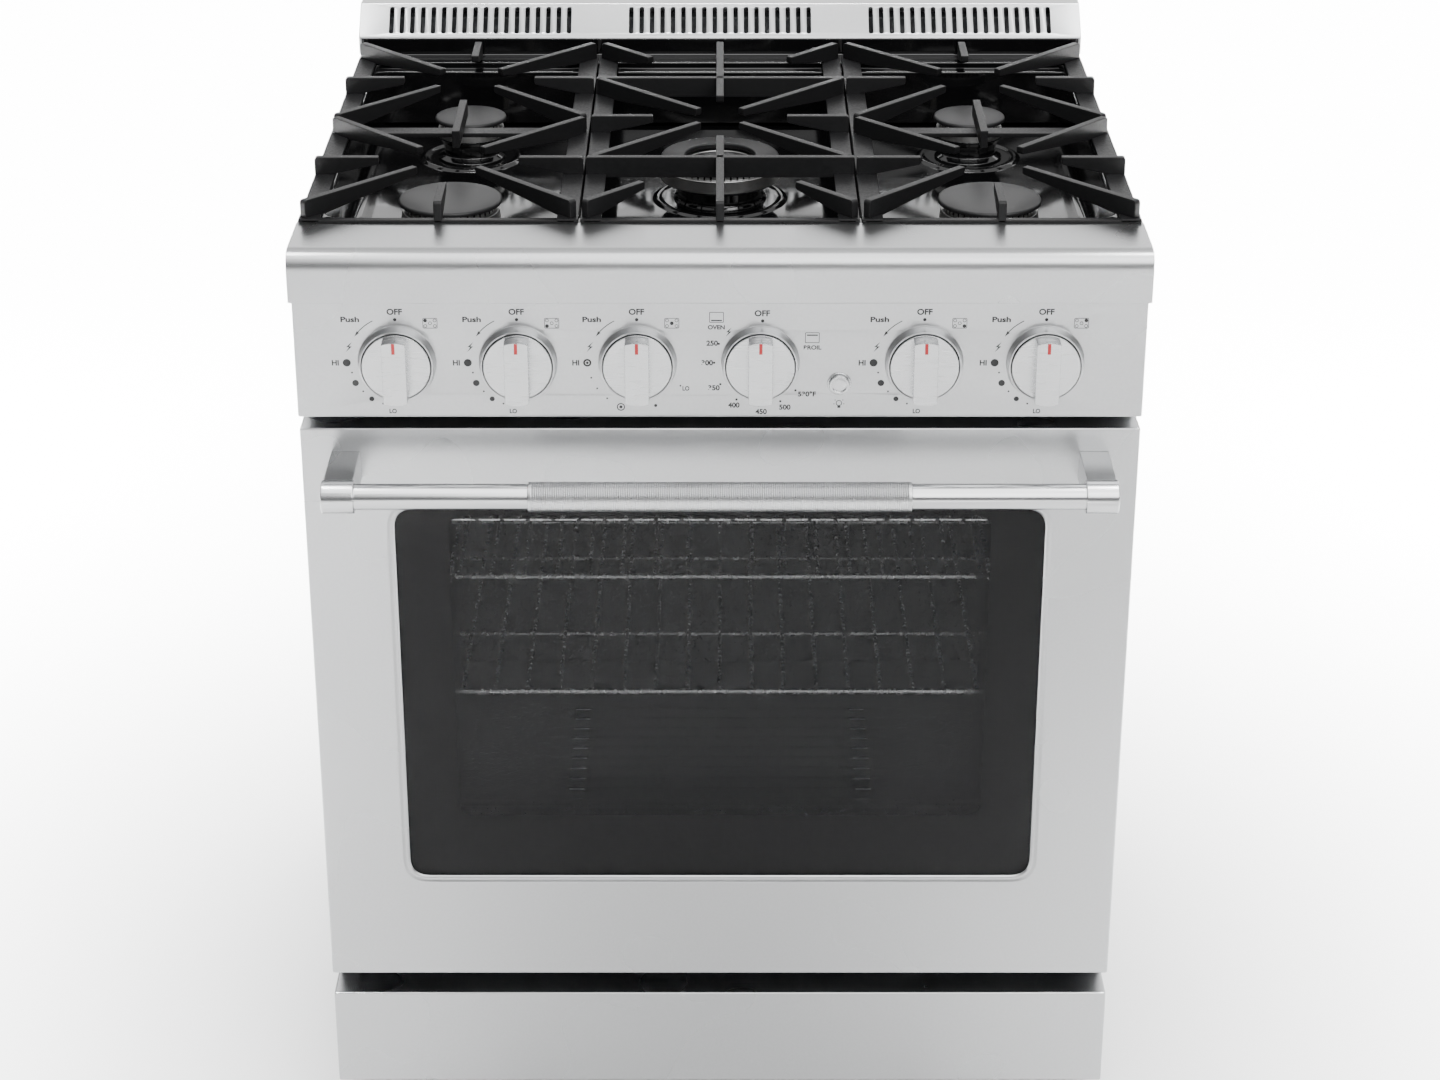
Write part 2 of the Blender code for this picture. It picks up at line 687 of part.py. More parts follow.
def make_centre_burner():
    """The double-ring burner: one head with two port rings, a ring cap and a small inner cap."""
    ring_under = CAP_TOP - CAP_THICKNESS - GAP
    inner_top = ring_under + 0.003
    inner_under = inner_top - CAP_THICKNESS - GAP
    seat = PAN_FLOOR + GAP
    outer = RING_CAP + 0.0015
    hole = RING_CAP_HOLE - 0.001
    well = inner_under - 0.012
    head = [
        (0, inner_under - 0.005),
        (INNER_CAP - 0.008, inner_under - 0.005),
        (INNER_CAP - 0.006, inner_under),
        (INNER_CAP - 0.002, inner_under),
        (INNER_CAP - 0.001, well),
        (hole - 0.002, well),
        (hole, ring_under - 0.004),
        (RING_CAP - 0.008, ring_under - 0.004),
        (RING_CAP - 0.006, ring_under),
        (outer - 0.003, ring_under),
        (outer, ring_under - 0.004),
        (outer, ring_under - 0.014),
        (outer - 0.010, ring_under - 0.019),
        (outer - 0.015, ring_under - 0.019),
        (outer - 0.015, seat),
        (CENTRE_SPIGOT_RADIUS, seat),
        (CENTRE_SPIGOT_RADIUS, PAN_FLOOR - SPIGOT_DEPTH),
        (0, PAN_FLOOR - SPIGOT_DEPTH),
    ]
    at = Matrix.Translation((0, GRATE_Y, 0))
    publish(turned(head, at), "burner_head_centre", aluminium, smooth=35)
    ring = [
        (RING_CAP_HOLE, ring_under + GAP),
        (RING_CAP_HOLE, CAP_TOP - 0.001),
        (RING_CAP_HOLE + 0.002, CAP_TOP),
        (RING_CAP - 0.003, CAP_TOP),
        (RING_CAP - 0.001, CAP_TOP - 0.001),
        (RING_CAP, ring_under + GAP),
        (RING_CAP_HOLE, ring_under + GAP),
    ]
    place = (0, GRATE_Y, CAP_TOP)
    publish(turned(ring, at), "burner_cap_centre_ring", cast_cap, place, smooth=35)
    cap = [
        (0, inner_top),
        (INNER_CAP - 0.002, inner_top - 0.0005),
        (INNER_CAP, inner_top - CAP_THICKNESS),
        (INNER_CAP - 0.009, inner_top - CAP_THICKNESS),
        (INNER_CAP - 0.011, inner_top - CAP_THICKNESS - 0.003),
        (0, inner_top - CAP_THICKNESS - 0.003),
    ]
    place = (0, GRATE_Y, inner_top)
    publish(turned(cap, at, sides=ROUND), "burner_cap_centre_inner", cast_cap, place, smooth=35)


def finger(root, tip, root_height, tip_height=TIP_HEIGHT):
    """One grate bar in the grate's own plan: flat top, and a bottom that rises towards its tip."""
    root, tip = Vector((*root, 0)), Vector((*tip, 0))
    length = (tip - root).length
    bm = bmesh.new()
    verts = add_box(bm, (0, -FINGER_WIDTH / 2, -root_height), (length, FINGER_WIDTH / 2, 0))
    for vert in verts:
        if vert.co.x > length / 2 and vert.co.z < -root_height / 2:
            vert.co.z = -tip_height
    turn = Matrix.Rotation(math.atan2(tip.y - root.y, tip.x - root.x), 4, "Z")
    bmesh.ops.transform(bm, matrix=Matrix.Translation(root) @ turn, verts=bm.verts)
    return new_object(bm)


def grate_frame(half, deep):
    """The strips along a grate's sides and ends, and how deep its bars are where they meet them."""
    foot = GRATE_RISE - GAP
    bar_depth = foot - OFFSET
    drop = foot - STRIP_THICKNESS
    sides = [
        box((half - STRIP_WIDTH, -deep, -foot), (half, deep, -drop)),
        box((-half, -deep, -foot), (STRIP_WIDTH - half, deep, -drop)),
    ]
    low, top = OFFSET / 2 - bar_depth, OFFSET + OFFSET / 2 - drop - STRIP_THICKNESS / 2
    inner, width = half - 0.003, FINGER_WIDTH / 2
    ends = [
        box((-inner, s * (deep - width) - width, low), (inner, s * (deep - width) + width, top))
        for s in (-1, 1)
    ]
    return sides + ends, bar_depth


def quarters(points):
    """A bar's root and tip repeated in all four quarters of the plan."""
    (rx, ry), (tx, ty) = points
    for sx in (-1, 1):
        for sy in (-1, 1):
            yield (sx * rx, sy * ry), (sx * tx, sy * ty)


def make_side_grate():
    """A side grate: eight slanting bars, four short side bars and three on its centre line."""
    half, deep = GRATE_WIDTH / 2, GRATE_DEPTH / 2
    strips, root = grate_frame(half, deep)
    edge = half - FINGER_WIDTH / 2
    end = deep - FINGER_WIDTH / 2
    reach = 0.029  # slanting bars' tips from their burner's centre, both ways
    side_tip, end_tip, spine = 0.0655, 0.2075, 0.052
    bars = list(quarters(((edge - 0.001, end - 0.004), (reach, BURNER_SPREAD + reach))))
    bars += list(quarters(((edge - 0.003, 0.002), (reach, BURNER_SPREAD - reach))))
    for side in (-1, 1):
        for y in (-BURNER_SPREAD, BURNER_SPREAD):
            bars.append(((side * (half - OFFSET), y), (side * side_tip, y)))
        bars.append(((0, side * deep), (0, side * end_tip)))
    inner = half - 0.002
    bridge = box((-inner, -STRIP_WIDTH / 2, -root), (inner, STRIP_WIDTH / 2, 0.004 - root))
    body, *rest = strips
    join(body, bridge, *rest, *[finger(a, b, root) for a, b in bars])
    join(body, finger((0, -spine), (0, spine), root, root))
    return settle(body)


def make_centre_grate():
    """The middle grate: two bars across, with slanting and straight bars that leave its middle open."""
    half, deep = GRATE_WIDTH / 2, GRATE_DEPTH / 2
    strips, root = grate_frame(half, deep)
    edge = half - FINGER_WIDTH / 2
    end = deep - FINGER_WIDTH / 2
    cross = 0.1305  # bars across, from the grate's centre line
    middle_tip = 0.065
    bars = list(quarters(((edge - 0.001, end - 0.004), (0.071, 0.204))))
    bars += list(quarters(((edge - 0.001, cross - 0.003), (0.0205, 0.022))))
    bars += [((0, s * deep), (0, s * middle_tip)) for s in (-1, 1)]
    bars += [((s * (half - OFFSET), 0), (s * middle_tip, 0)) for s in (-1, 1)]
    inner = half - 2 * OFFSET
    across = [finger((-inner, s * cross), (inner, s * cross), root, root) for s in (-1, 1)]
    body, *rest = strips
    join(body, *across, *rest, *[finger(a, b, root) for a, b in bars])
    return settle(body)


def make_grates():
    side = make_side_grate()
    publish(side, "grate_left", cast_iron)
    side.location = (-GRATE_PITCH, GRATE_Y, GRATE_TOP)
    copy_part(side, "grate_right", (GRATE_PITCH, GRATE_Y, GRATE_TOP))
    centre = publish(make_centre_grate(), "grate_centre", cast_iron)
    centre.location = (0, GRATE_Y, GRATE_TOP)


def make_backguard():
    """The vent trim: a slotted slope, a flat top and a back that overlaps the rear panel's edge."""
    top = RAIL_TOP + VENT_RISE
    foot = RIM_TOP + 0.002
    low = RIM_TOP + PAN_UPSTAND
    slope_top = VENT_FRONT + VENT_SLOPE_DEPTH
    profile = [(VENT_FRONT, foot), (VENT_FRONT, low), (slope_top, top), (REAR, top), (REAR, foot)]
    bm = channel(profile, WIDTH / 2)
    face_outwards(bm, (0, REAR - 0.01, top), (0, 0, 1))
    trim = settle(shell(new_object(bm)))
    slope = math.atan2(top - low, VENT_SLOPE_DEPTH)
    middle = Vector((0, (VENT_FRONT + slope_top) / 2, (low + top) / 2))
    slots = bmesh.new()
    for group in (-GRATE_PITCH, 0, GRATE_PITCH):
        for index in range(SLOT_COUNT):
            x = group + (index - (SLOT_COUNT - 1) / 2) * SLOT_PITCH
            size = Matrix.Diagonal((SLOT_WIDTH, SLOT_LENGTH, 0.012, 1))
            place = Matrix.Translation(middle + Vector((x, 0, 0))) @ Matrix.Rotation(slope, 4, "X")
            bmesh.ops.create_cube(slots, size=1, matrix=place @ size)
    publish(settle(cut(trim, new_object(slots))), "backguard", stainless)


# ---------------------------------------------------------------- oven
def make_liner():
    """The oven liner: an open box with a front flange, five ledges a side and two hinge slots."""
    half = CAVITY_WIDTH / 2
    bm = tray((-half, BODY_FRONT, CAVITY_LOW), (half, CAVITY_BACK, CAVITY_TOP), 1, -1)
    swept = bmesh.ops.extrude_edge_only(bm, edges=[e for e in bm.edges if e.is_boundary])["geom"]
    flange_half = WIDTH / 2 - FLANGE - GAP
    for vert in (v for v in swept if isinstance(v, bmesh.types.BMVert)):
        vert.co.x = math.copysign(flange_half, vert.co.x)
        vert.co.z = KICK_TOP - FRAME_LAP if vert.co.z < CAVITY_TOP - 0.1 else PANEL_LOW + FRAME_LAP
    bmesh.ops.recalc_face_normals(bm, faces=bm.faces)
    face_outwards(bm, (0, CAVITY_BACK, (CAVITY_LOW + CAVITY_TOP) / 2), (0, -1, 0))
    liner = settle(shell(new_object(bm)))
    front, back = BODY_FRONT + 0.030, CAVITY_BACK - 0.020
    for height in ledge_heights():
        for side in (-1, 1):
            edges = sorted((side * (half - LEDGE_DEPTH), side * (half + SHEET / 2)))
            join(liner, box((edges[0], front, height - LEDGE_HEIGHT), (edges[1], back, height)))
    for side in (-1, 1):
        cut(liner, hinge_slot(side, BODY_FRONT - 4 * SHEET, BODY_FRONT + 4 * SHEET))
    publish(settle(liner), "oven_liner", oven_enamel)


def ledge_heights():
    """Top of each ledge: the two used ones carry the racks' frames, and three are spare."""
    used = [DOOR_LOW + rack - RACK_FRAME / 2 - GAP for rack in RACK_HEIGHTS]
    step = used[1] - used[0]
    return [used[0] - step / 2, used[0], used[0] + step / 2, used[1], used[1] + step / 2]


def hinge_slot(side, front, back, low=None):
    """The gap that a hinge bracket needs, as a box between two depths, open below if low is given."""
    half = HINGE_SHEET / 2 + SLOT_CLEARANCE
    reach = BRACKET_HALF_HEIGHT + SLOT_CLEARANCE
    x = side * HINGE_X
    bottom = PIVOT_Z - reach if low is None else low
    return box((x - half, front, bottom), (x + half, back, PIVOT_Z + reach))


def make_hinges():
    """On each side a bracket with a pin, fixed in the body, and an arm with a bore, fixed in the door."""
    half, height = HINGE_SHEET / 2, BRACKET_HALF_HEIGHT
    low = (HINGE_X - half, PIVOT_Y, PIVOT_Z - height)
    bracket = box(low, (HINGE_X + half, BODY_FRONT + BRACKET_LENGTH, PIVOT_Z + height))
    inset = OFFSET / 2
    start = (HINGE_X - half + inset, PIVOT_Y, PIVOT_Z)
    round_end = cylinder(start, (1, 0, 0), HINGE_SHEET - 2 * inset, height - inset)
    arm_x = HINGE_X + half + HINGE_GAP
    pin_length = arm_x + 2 * HINGE_SHEET - HINGE_X
    pin = cylinder((HINGE_X, PIVOT_Y, PIVOT_Z), (1, 0, 0), pin_length, PIN_RADIUS)
    join(bracket, round_end, pin)
    settle(bracket)
    low = (arm_x, PIVOT_Y - ARM_HALF_WIDTH, PIVOT_Z - ARM_HALF_WIDTH)
    arm = box(low, (arm_x + HINGE_SHEET, SKIN_BACK, PIVOT_Z + ARM_LENGTH))
    bore_start = (arm_x - HINGE_SHEET, PIVOT_Y, PIVOT_Z)
    cut(arm, cylinder(bore_start, (1, 0, 0), 3 * HINGE_SHEET, PIN_RADIUS + GAP))
    settle(arm)
    arm_left = mirror_x(arm)
    publish(mirror_x(bracket), "hinge_bracket_left", steel)
    publish(bracket, "hinge_bracket_right", steel)
    publish(arm_left, "hinge_arm_left", steel)
    publish(arm, "hinge_arm_right", steel)
    return arm_left, arm


def make_oven_floor():
    """The removable plate above the bake burner, with a slotted, ribbed middle."""
    half = CAVITY_WIDTH / 2 - 0.003
    z, thickness = CAVITY_LOW + 0.040, 0.002
    plate = box((-half, BODY_FRONT + 0.012, z), (half, CAVITY_BACK - 0.004, z + thickness))
    slots = bmesh.new()
    count, pitch, width, reach = 12, 0.022, 0.006, 0.62 * half
    for index in range(count):
        y = BODY_FRONT + 0.10 + index * pitch
        add_box(slots, (-reach, y, z - thickness), (reach, y + width, z + 2 * thickness))
    publish(settle(cut(plate, new_object(slots))), "oven_floor", oven_enamel)


def bent(points, radius, steps=4):
    """Points of a line whose corners are rounded."""
    route = [Vector(points[0])]
    for before, corner, after in zip(points, points[1:], points[2:]):
        corner = Vector(corner)
        start = corner + (Vector(before) - corner).normalized() * radius
        end = corner + (Vector(after) - corner).normalized() * radius
        for step in range(steps + 1):
            t = step / steps
            route.append(start.lerp(corner, t).lerp(corner.lerp(end, t), t))
    return route + [Vector(points[-1])]


def make_oven_burners():
    """The looped bake burner under the floor plate and the looped broil burner under the ceiling."""
    back = CAVITY_BACK - 0.004
    front = BODY_FRONT + 0.075
    bake, broil = CAVITY_LOW + 0.022, CAVITY_TOP - 0.018
    for name, z, reach in (("bake_burner", bake, 0.150), ("broil_burner", broil, 0.170)):
        loop = [(-reach, back, z), (-reach, front, z), (reach, front, z), (reach, back, z)]
        publish(tube(bent(loop, 0.04), TUBE_BURNER_RADIUS), name, steel, smooth=50)


def make_oven_lamp():
    """A domed glass lamp cover on the cavity's rear wall."""
    profile = [
        (0, 0.022),
        (0.012, 0.020),
        (0.020, 0.014),
        (LAMP_RADIUS - 0.003, 0.006),
        (LAMP_RADIUS, 0.004),
        (LAMP_RADIUS, 0),
        (0, 0),
    ]
    place = Matrix.Translation((LAMP_X, CAVITY_BACK - GAP, CAVITY_TOP - LAMP_BELOW_CEILING))
    lamp = turned(profile, place @ Matrix.Rotation(math.radians(90), 4, "X"), sides=SMALL_ROUND)
    publish(lamp, "oven_lamp", clear_glass, smooth=40)


def make_gasket():
    """The woven seal round the cavity, between the liner's flange and the door."""
    radius = (SEAL_DEPTH - 2 * GAP) / 2
    width, height = CAVITY_WIDTH + 2 * SEAL_INSET, CAVITY_HEIGHT + 2 * SEAL_INSET
    middle = (CAVITY_LOW + CAVITY_TOP) / 2
    y = (DOOR_BACK + BODY_FRONT) / 2
    route = [(x, y, z + middle) for x, z in rounded_rectangle(width, height, 0.02, 3)]
    publish(tube(route, radius, cyclic=True), "door_gasket", gasket, smooth=60)


def make_rack(name, height):
    """A wire rack: a frame, three bars under it and wires from front to back."""
    half = CAVITY_WIDTH / 2 - RACK_SIDE_CLEARANCE
    front = BODY_FRONT + RACK_FRONT_SETBACK
    back = front + RACK_DEPTH
    z = DOOR_LOW + height
    frame = RACK_FRAME / 2
    wire = RACK_WIRE / 2
    wire_top = z + frame - 0.0001
    rack = box((-half, front, z - frame), (half, front + RACK_FRAME, z + frame))
    join(rack, box((-half, back - RACK_FRAME, z - frame), (half, back, z + frame)))
    for side in (-1, 1):
        middle = side * (half - frame)
        low = (middle - frame + 0.0002, front + 0.0004, z - frame + 0.0002)
        join(rack, box(low, (middle + frame - 0.0002, back - 0.0004, z + frame - 0.0002)))
    for share in (0.3, 0.72):
        y = front + share * RACK_DEPTH
        low = (-half + frame, y - wire, z - frame + 0.0002)
        join(rack, box(low, (half - frame, y + wire, wire_top - RACK_WIRE + 0.0006)))
    count = int((half - RACK_FRAME) / RACK_PITCH)
    for index in range(-count, count + 1):
        x = index * RACK_PITCH
        join(rack, box((x - wire, front + frame, wire_top - RACK_WIRE), (x + wire, back - frame, wire_top)))
    publish(settle(rack), name, chrome, (0, front, z))


def make_manifold():
    """The gas rail behind the control panel: valve bodies on a tube whose tail runs to the back."""
    tube_y = BODY_FRONT - 0.016
    tube_z = KNOB_Z - 0.024
    left = min(KNOB_X) - 0.030
    tail_y = REAR - GAP
    route = [
        (left, tube_y, tube_z),
        (PIPE_X, tube_y, tube_z),
        (PIPE_X, BODY_FRONT + 0.10, tube_z),
        (PIPE_X, tail_y - 0.04, PIPE_Z),
        (PIPE_X, tail_y, PIPE_Z),
    ]
    rail = tube(bent(route, 0.02, 3), PIPE_RADIUS)
    for x in (*KNOB_X, OVEN_KNOB_X):
        front = PANEL_FACE + VALVE_SETBACK
        length = BODY_FRONT - 0.004 - front
        body = cylinder((x, front, KNOB_Z), (0, 1, 0), length, VALVE_RADIUS, sides=STUD_ROUND)
        neck = box((x - 0.007, tube_y - 0.007, tube_z), (x + 0.007, tube_y + 0.006, KNOB_Z))
        start = (x, front - STEM_BORE, KNOB_Z)
        bore = cylinder(start, (0, 1, 0), 2 * STEM_BORE, STEM_RADIUS + STEM_FIT, sides=STUD_ROUND)
        join(rail, settle(join(body, neck)))
        cut(rail, bore)
    publish(settle(rail), "gas_manifold", aluminium)


# ---------------------------------------------------------------- door
def door_hinge_slot(side):
    """Clears a hinge bracket through a quarter turn, from the door's back to its lower edge."""
    front = PIVOT_Y - BRACKET_HALF_HEIGHT - SLOT_CLEARANCE
    return hinge_slot(side, front, DOOR_BACK + SHEET, DOOR_LOW - SHEET)


def make_door_skin():
    """The pressed outer skin with the window's opening."""
    half = WIDTH / 2
    bm = tray((-half, DOOR_FACE, DOOR_LOW), (half, SKIN_BACK, DOOR_TOP), 1, 1)
    skin = shell(new_object(bm))
    middle = WINDOW_LOW + WINDOW_HEIGHT / 2
    window = (DOOR_FACE - 2 * SHEET, DOOR_FACE + 4 * SHEET)
    cut(skin, upright_plate(WINDOW_WIDTH, WINDOW_HEIGHT, WINDOW_RADIUS, middle, *window))
    cut(skin, door_hinge_slot(-1), door_hinge_slot(1))
    return publish(settle(skin), "door_skin", stainless, (0, PIVOT_Y, PIVOT_Z))


def make_door_glass():
    """The black-bordered outer glass behind the skin, and the inner glass on the inner panel."""
    lap = 2 * GLASS_LAP
    middle = WINDOW_LOW + WINDOW_HEIGHT / 2
    front = DOOR_FACE + SHEET + GAP
    size = (WINDOW_WIDTH + lap, WINDOW_HEIGHT + lap, WINDOW_RADIUS)
    outer = upright_plate(*size, middle, front, front + GLASS_THICKNESS)
    middle = INNER_WINDOW_LOW + INNER_WINDOW_HEIGHT / 2
    back = DOOR_BACK - SHEET - GAP
    size = (INNER_WINDOW_WIDTH + lap, INNER_WINDOW_HEIGHT + lap, WINDOW_RADIUS)
    inner = upright_plate(*size, middle, back - GLASS_THICKNESS, back)
    pivot = (0, PIVOT_Y, PIVOT_Z)
    return (
        publish(outer, "door_glass_outer", dark_glass, pivot),
        publish(inner, "door_glass_inner", clear_glass, pivot),
    )


def make_door_inner_panel():
    """The enamelled inner panel: a shallow tray with the inner window's opening."""
    half = WIDTH / 2 - INNER_PANEL_INSET
    low = (-half, INNER_PANEL_FRONT, DOOR_LOW + INNER_PANEL_RISE)
    bm = tray(low, (half, DOOR_BACK, DOOR_TOP - INNER_PANEL_INSET), 1, -1)
    panel = shell(new_object(bm))
    middle = INNER_WINDOW_LOW + INNER_WINDOW_HEIGHT / 2
    window = (DOOR_BACK - 4 * SHEET, DOOR_BACK + 2 * SHEET)
    size = (INNER_WINDOW_WIDTH, INNER_WINDOW_HEIGHT, WINDOW_RADIUS)
    cut(panel, upright_plate(*size, middle, *window))
    cut(panel, door_hinge_slot(-1), door_hinge_slot(1))
    return publish(settle(panel), "door_inner_panel", oven_enamel, (0, PIVOT_Y, PIVOT_Z))


def make_handle():
    """A turned bar held in two cast posts."""
    end = HANDLE_WIDTH / 2
    bar_end = end - CAP_END - GAP
    grip = GRIP_LENGTH / 2
    chamfer = GRIP_RADIUS - BAR_RADIUS
    profile = [
        (0, bar_end),
        (BAR_RADIUS, bar_end),
        (BAR_RADIUS, grip + chamfer),
        (GRIP_RADIUS, grip),
        (GRIP_RADIUS, -grip),
        (BAR_RADIUS, -grip - chamfer),
        (BAR_RADIUS, -bar_end),
        (0, -bar_end),
    ]
    place = Matrix.Translation((0, HANDLE_Y, HANDLE_Z)) @ Matrix.Rotation(math.radians(90), 4, "Y")
    start = end - CAP_LENGTH
    cap = cylinder((start, HANDLE_Y, HANDLE_Z), (1, 0, 0), CAP_LENGTH, CAP_RADIUS, sides=ROUND)
    inset = 0.001
    low = (start + inset, HANDLE_Y, HANDLE_Z - CAP_RADIUS + 1.5 * inset)
    block = box(low, (end - inset, DOOR_FACE - GAP, HANDLE_Z + CAP_RADIUS - OFFSET))
    bore_start = (start - CAP_END, HANDLE_Y, HANDLE_Z)
    bore = cylinder(bore_start, (1, 0, 0), CAP_LENGTH, BAR_RADIUS + GAP, sides=ROUND)
    post = settle(cut(join(cap, block), bore))
    left = mirror_x(post)
    pivot = (0, PIVOT_Y, PIVOT_Z)
    return (
        publish(turned(profile, place), "handle_bar", stainless, pivot, smooth=35),
        publish(left, "handle_post_left", stainless, pivot, smooth=35),
        publish(post, "handle_post_right", stainless, pivot, smooth=35),
    )


def make_door():
    hinge = carrier("door_hinge_axis", (0, PIVOT_Y, PIVOT_Z))
    carry(hinge, make_door_skin(), *make_door_glass(), make_door_inner_panel())
    carry(hinge, *make_handle(), *make_hinges())


# ---------------------------------------------------------------- controls
def make_knob_mesh():
    """A disc with a grip bar across it and a blind bore for the stem, round its own axis."""
    out = Matrix.Rotation(math.radians(90), 4, "X")
    profile = [
        (0, KNOB_FACE),
        (KNOB_RADIUS - 0.001, KNOB_FACE),
        (KNOB_RADIUS, KNOB_FACE - 0.001),
        (KNOB_RADIUS, KNOB_BACK),
        (0, KNOB_BACK),
    ]
    knob = turned(profile, out)
    root = 0.004  # of the bar, inside the disc
    start = (0, root - KNOB_FACE, 0)
    length = KNOB_GRIP_FACE - KNOB_FACE + root
    bar = cylinder(start, (0, -1, 0), length, KNOB_RADIUS - OFFSET, KNOB_RADIUS - 0.0018, ROUND)
    trim, reach = KNOB_GRIP_WIDTH / 2, 1.5 * KNOB_RADIUS
    for side in (-1, 1):
        edges = sorted((side * trim, side * reach))
        cut(bar, box((edges[0], -reach, -reach), (edges[1], 0, reach)))
    join(knob, settle(bar))
    tip_gap = 0.001
    bore_start = (0, KNOB_BACK, 0)
    bore_length = KNOB_BACK + STEM_REACH + tip_gap
    cut(knob, cylinder(bore_start, (0, -1, 0), bore_length, STEM_RADIUS + STEM_FIT))
    return settle(knob)


def make_stem_mesh():
    """The valve's stem, round the knob's axis."""
    back = VALVE_SETBACK + STEM_IN_VALVE
    return cylinder((0, back, 0), (0, -1, 0), back + STEM_REACH, STEM_RADIUS, sides=STUD_ROUND)


def make_knobs():
    """Six knobs on six stems; a knob's origin is on its axis, in the panel's face."""
    names = ("left_rear", "left_front", "centre", "right_front", "right_rear")
    places = [(name, x) for name, x in zip(names, KNOB_X)] + [("oven", OVEN_KNOB_X)]
    first_knob = first_stem = None
    for name, x in places:
        axis = (x, PANEL_FACE, KNOB_Z)
        if first_knob is None:
            first_knob = publish(make_knob_mesh(), f"knob_{name}", knob_metal, smooth=35)
            first_stem = publish(make_stem_mesh(), f"stem_{name}", steel, smooth=35)
            first_knob.location = first_stem.location = axis
        else:
            copy_part(first_knob, f"knob_{name}", axis)
            copy_part(first_stem, f"stem_{name}", axis)


def make_light_button():
    """A round button with a wider flange behind the panel, so that it can't fall out."""
    flange = SHEET + GAP
    profile = [
        (0, BUTTON_FACE),
        (BUTTON_RADIUS - 0.001, BUTTON_FACE),
        (BUTTON_RADIUS, BUTTON_FACE - 0.001),
        (BUTTON_RADIUS, -flange),
        (BUTTON_RADIUS + BUTTON_FLANGE, -flange),
        (BUTTON_RADIUS + BUTTON_FLANGE, -flange - BUTTON_FLANGE),
        (0, -flange - BUTTON_FLANGE),
    ]
    button = turned(profile, Matrix.Rotation(math.radians(90), 4, "X"), sides=ROUND)
    publish(button, "light_button", knob_metal, smooth=35)
    button.location = (BUTTON_X, PANEL_FACE, BUTTON_Z)


# ---------------------------------------------------------------- run
def make_body():
    make_side_panels()
    make_rear_panel()
    make_base_pan()
    make_legs()
    make_kick_plate()
    make_front_rail()
    make_control_panel()


def make_cooktop():
    make_cooktop_pan()
    for name, x, y, cap_radius in burner_places():
        make_side_burner(name, x, y, cap_radius)
    make_centre_burner()
    make_grates()
    make_backguard()


def make_oven():
    make_liner()
    make_oven_floor()
    make_oven_burners()
    make_oven_lamp()
    make_gasket()
    make_manifold()
    for name, height in zip(("oven_rack_lower", "oven_rack_upper"), RACK_HEIGHTS):
        make_rack(name, height)


clear_scene()
parts = new_collection("gas_range")
helpers = new_collection("cutters")
helpers.hide_render = True
stainless = make_material("stainless_steel", "#C9CACB", 0.32, 1.0)
knob_metal = make_material("knob_metal", "#CFCFD0", 0.30, 1.0)
painted_side = make_material("side_paint", "#2A2B2C", 0.45, 0.0)
galvanised = make_material("galvanised_steel", "#9FA3A6", 0.50, 1.0)
black_plastic = make_material("black_plastic", "#1C1C1D", 0.55, 0.0)
enamel = make_material("cooktop_enamel", "#0D0D0E", 0.12, 0.0)
oven_enamel = make_material("oven_enamel", "#303238", 0.30, 0.0)
aluminium = make_material("cast_aluminium", "#A9AAAC", 0.45, 1.0)
cast_cap = make_material("cap_enamel", "#2B2B2C", 0.40, 0.0)
cast_iron = make_material("cast_iron", "#1E1E1F", 0.60, 0.0)
chrome = make_material("rack_chrome", "#D8D9DA", 0.18, 1.0)
steel = make_material("plain_steel", "#8E9194", 0.40, 1.0)
dark_glass = make_material("dark_glass", "#101113", 0.05, 0.0)
clear_glass = make_material("clear_glass", "#AEB6BA", 0.05, 0.0)
gasket = make_material("woven_gasket", "#4A4A48", 0.90, 0.0)
make_body()
make_cooktop()
make_oven()
make_door()
make_knobs()
make_light_button()
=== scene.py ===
"""Detailed visual model of a freestanding gas range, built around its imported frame."""

import math

import bmesh
import bpy
from bpy.props import FloatProperty, FloatVectorProperty, IntProperty, PointerProperty
from mathutils import Matrix, Vector


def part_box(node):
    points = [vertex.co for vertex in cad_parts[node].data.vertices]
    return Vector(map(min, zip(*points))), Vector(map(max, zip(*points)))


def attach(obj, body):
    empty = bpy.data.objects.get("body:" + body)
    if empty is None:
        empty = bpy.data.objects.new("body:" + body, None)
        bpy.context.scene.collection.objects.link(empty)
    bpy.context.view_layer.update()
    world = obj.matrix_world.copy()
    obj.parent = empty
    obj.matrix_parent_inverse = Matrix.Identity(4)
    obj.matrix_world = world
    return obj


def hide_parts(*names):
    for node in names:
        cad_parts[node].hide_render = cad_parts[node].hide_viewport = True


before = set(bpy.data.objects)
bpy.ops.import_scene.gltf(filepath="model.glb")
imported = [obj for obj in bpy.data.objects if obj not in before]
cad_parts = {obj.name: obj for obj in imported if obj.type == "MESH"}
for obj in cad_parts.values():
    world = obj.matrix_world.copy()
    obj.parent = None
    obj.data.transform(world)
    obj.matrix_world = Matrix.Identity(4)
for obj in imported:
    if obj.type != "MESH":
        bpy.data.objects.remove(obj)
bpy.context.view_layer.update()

bl_info = {
    "name": "Gas Range",
    "version": (1, 0, 0),
    "blender": (4, 5, 0),
    "location": "View3D > Sidebar > Gas Range",
    "description": "Builds the visible pieces, finishes and studio of a freestanding gas range",
    "category": "Object",
}

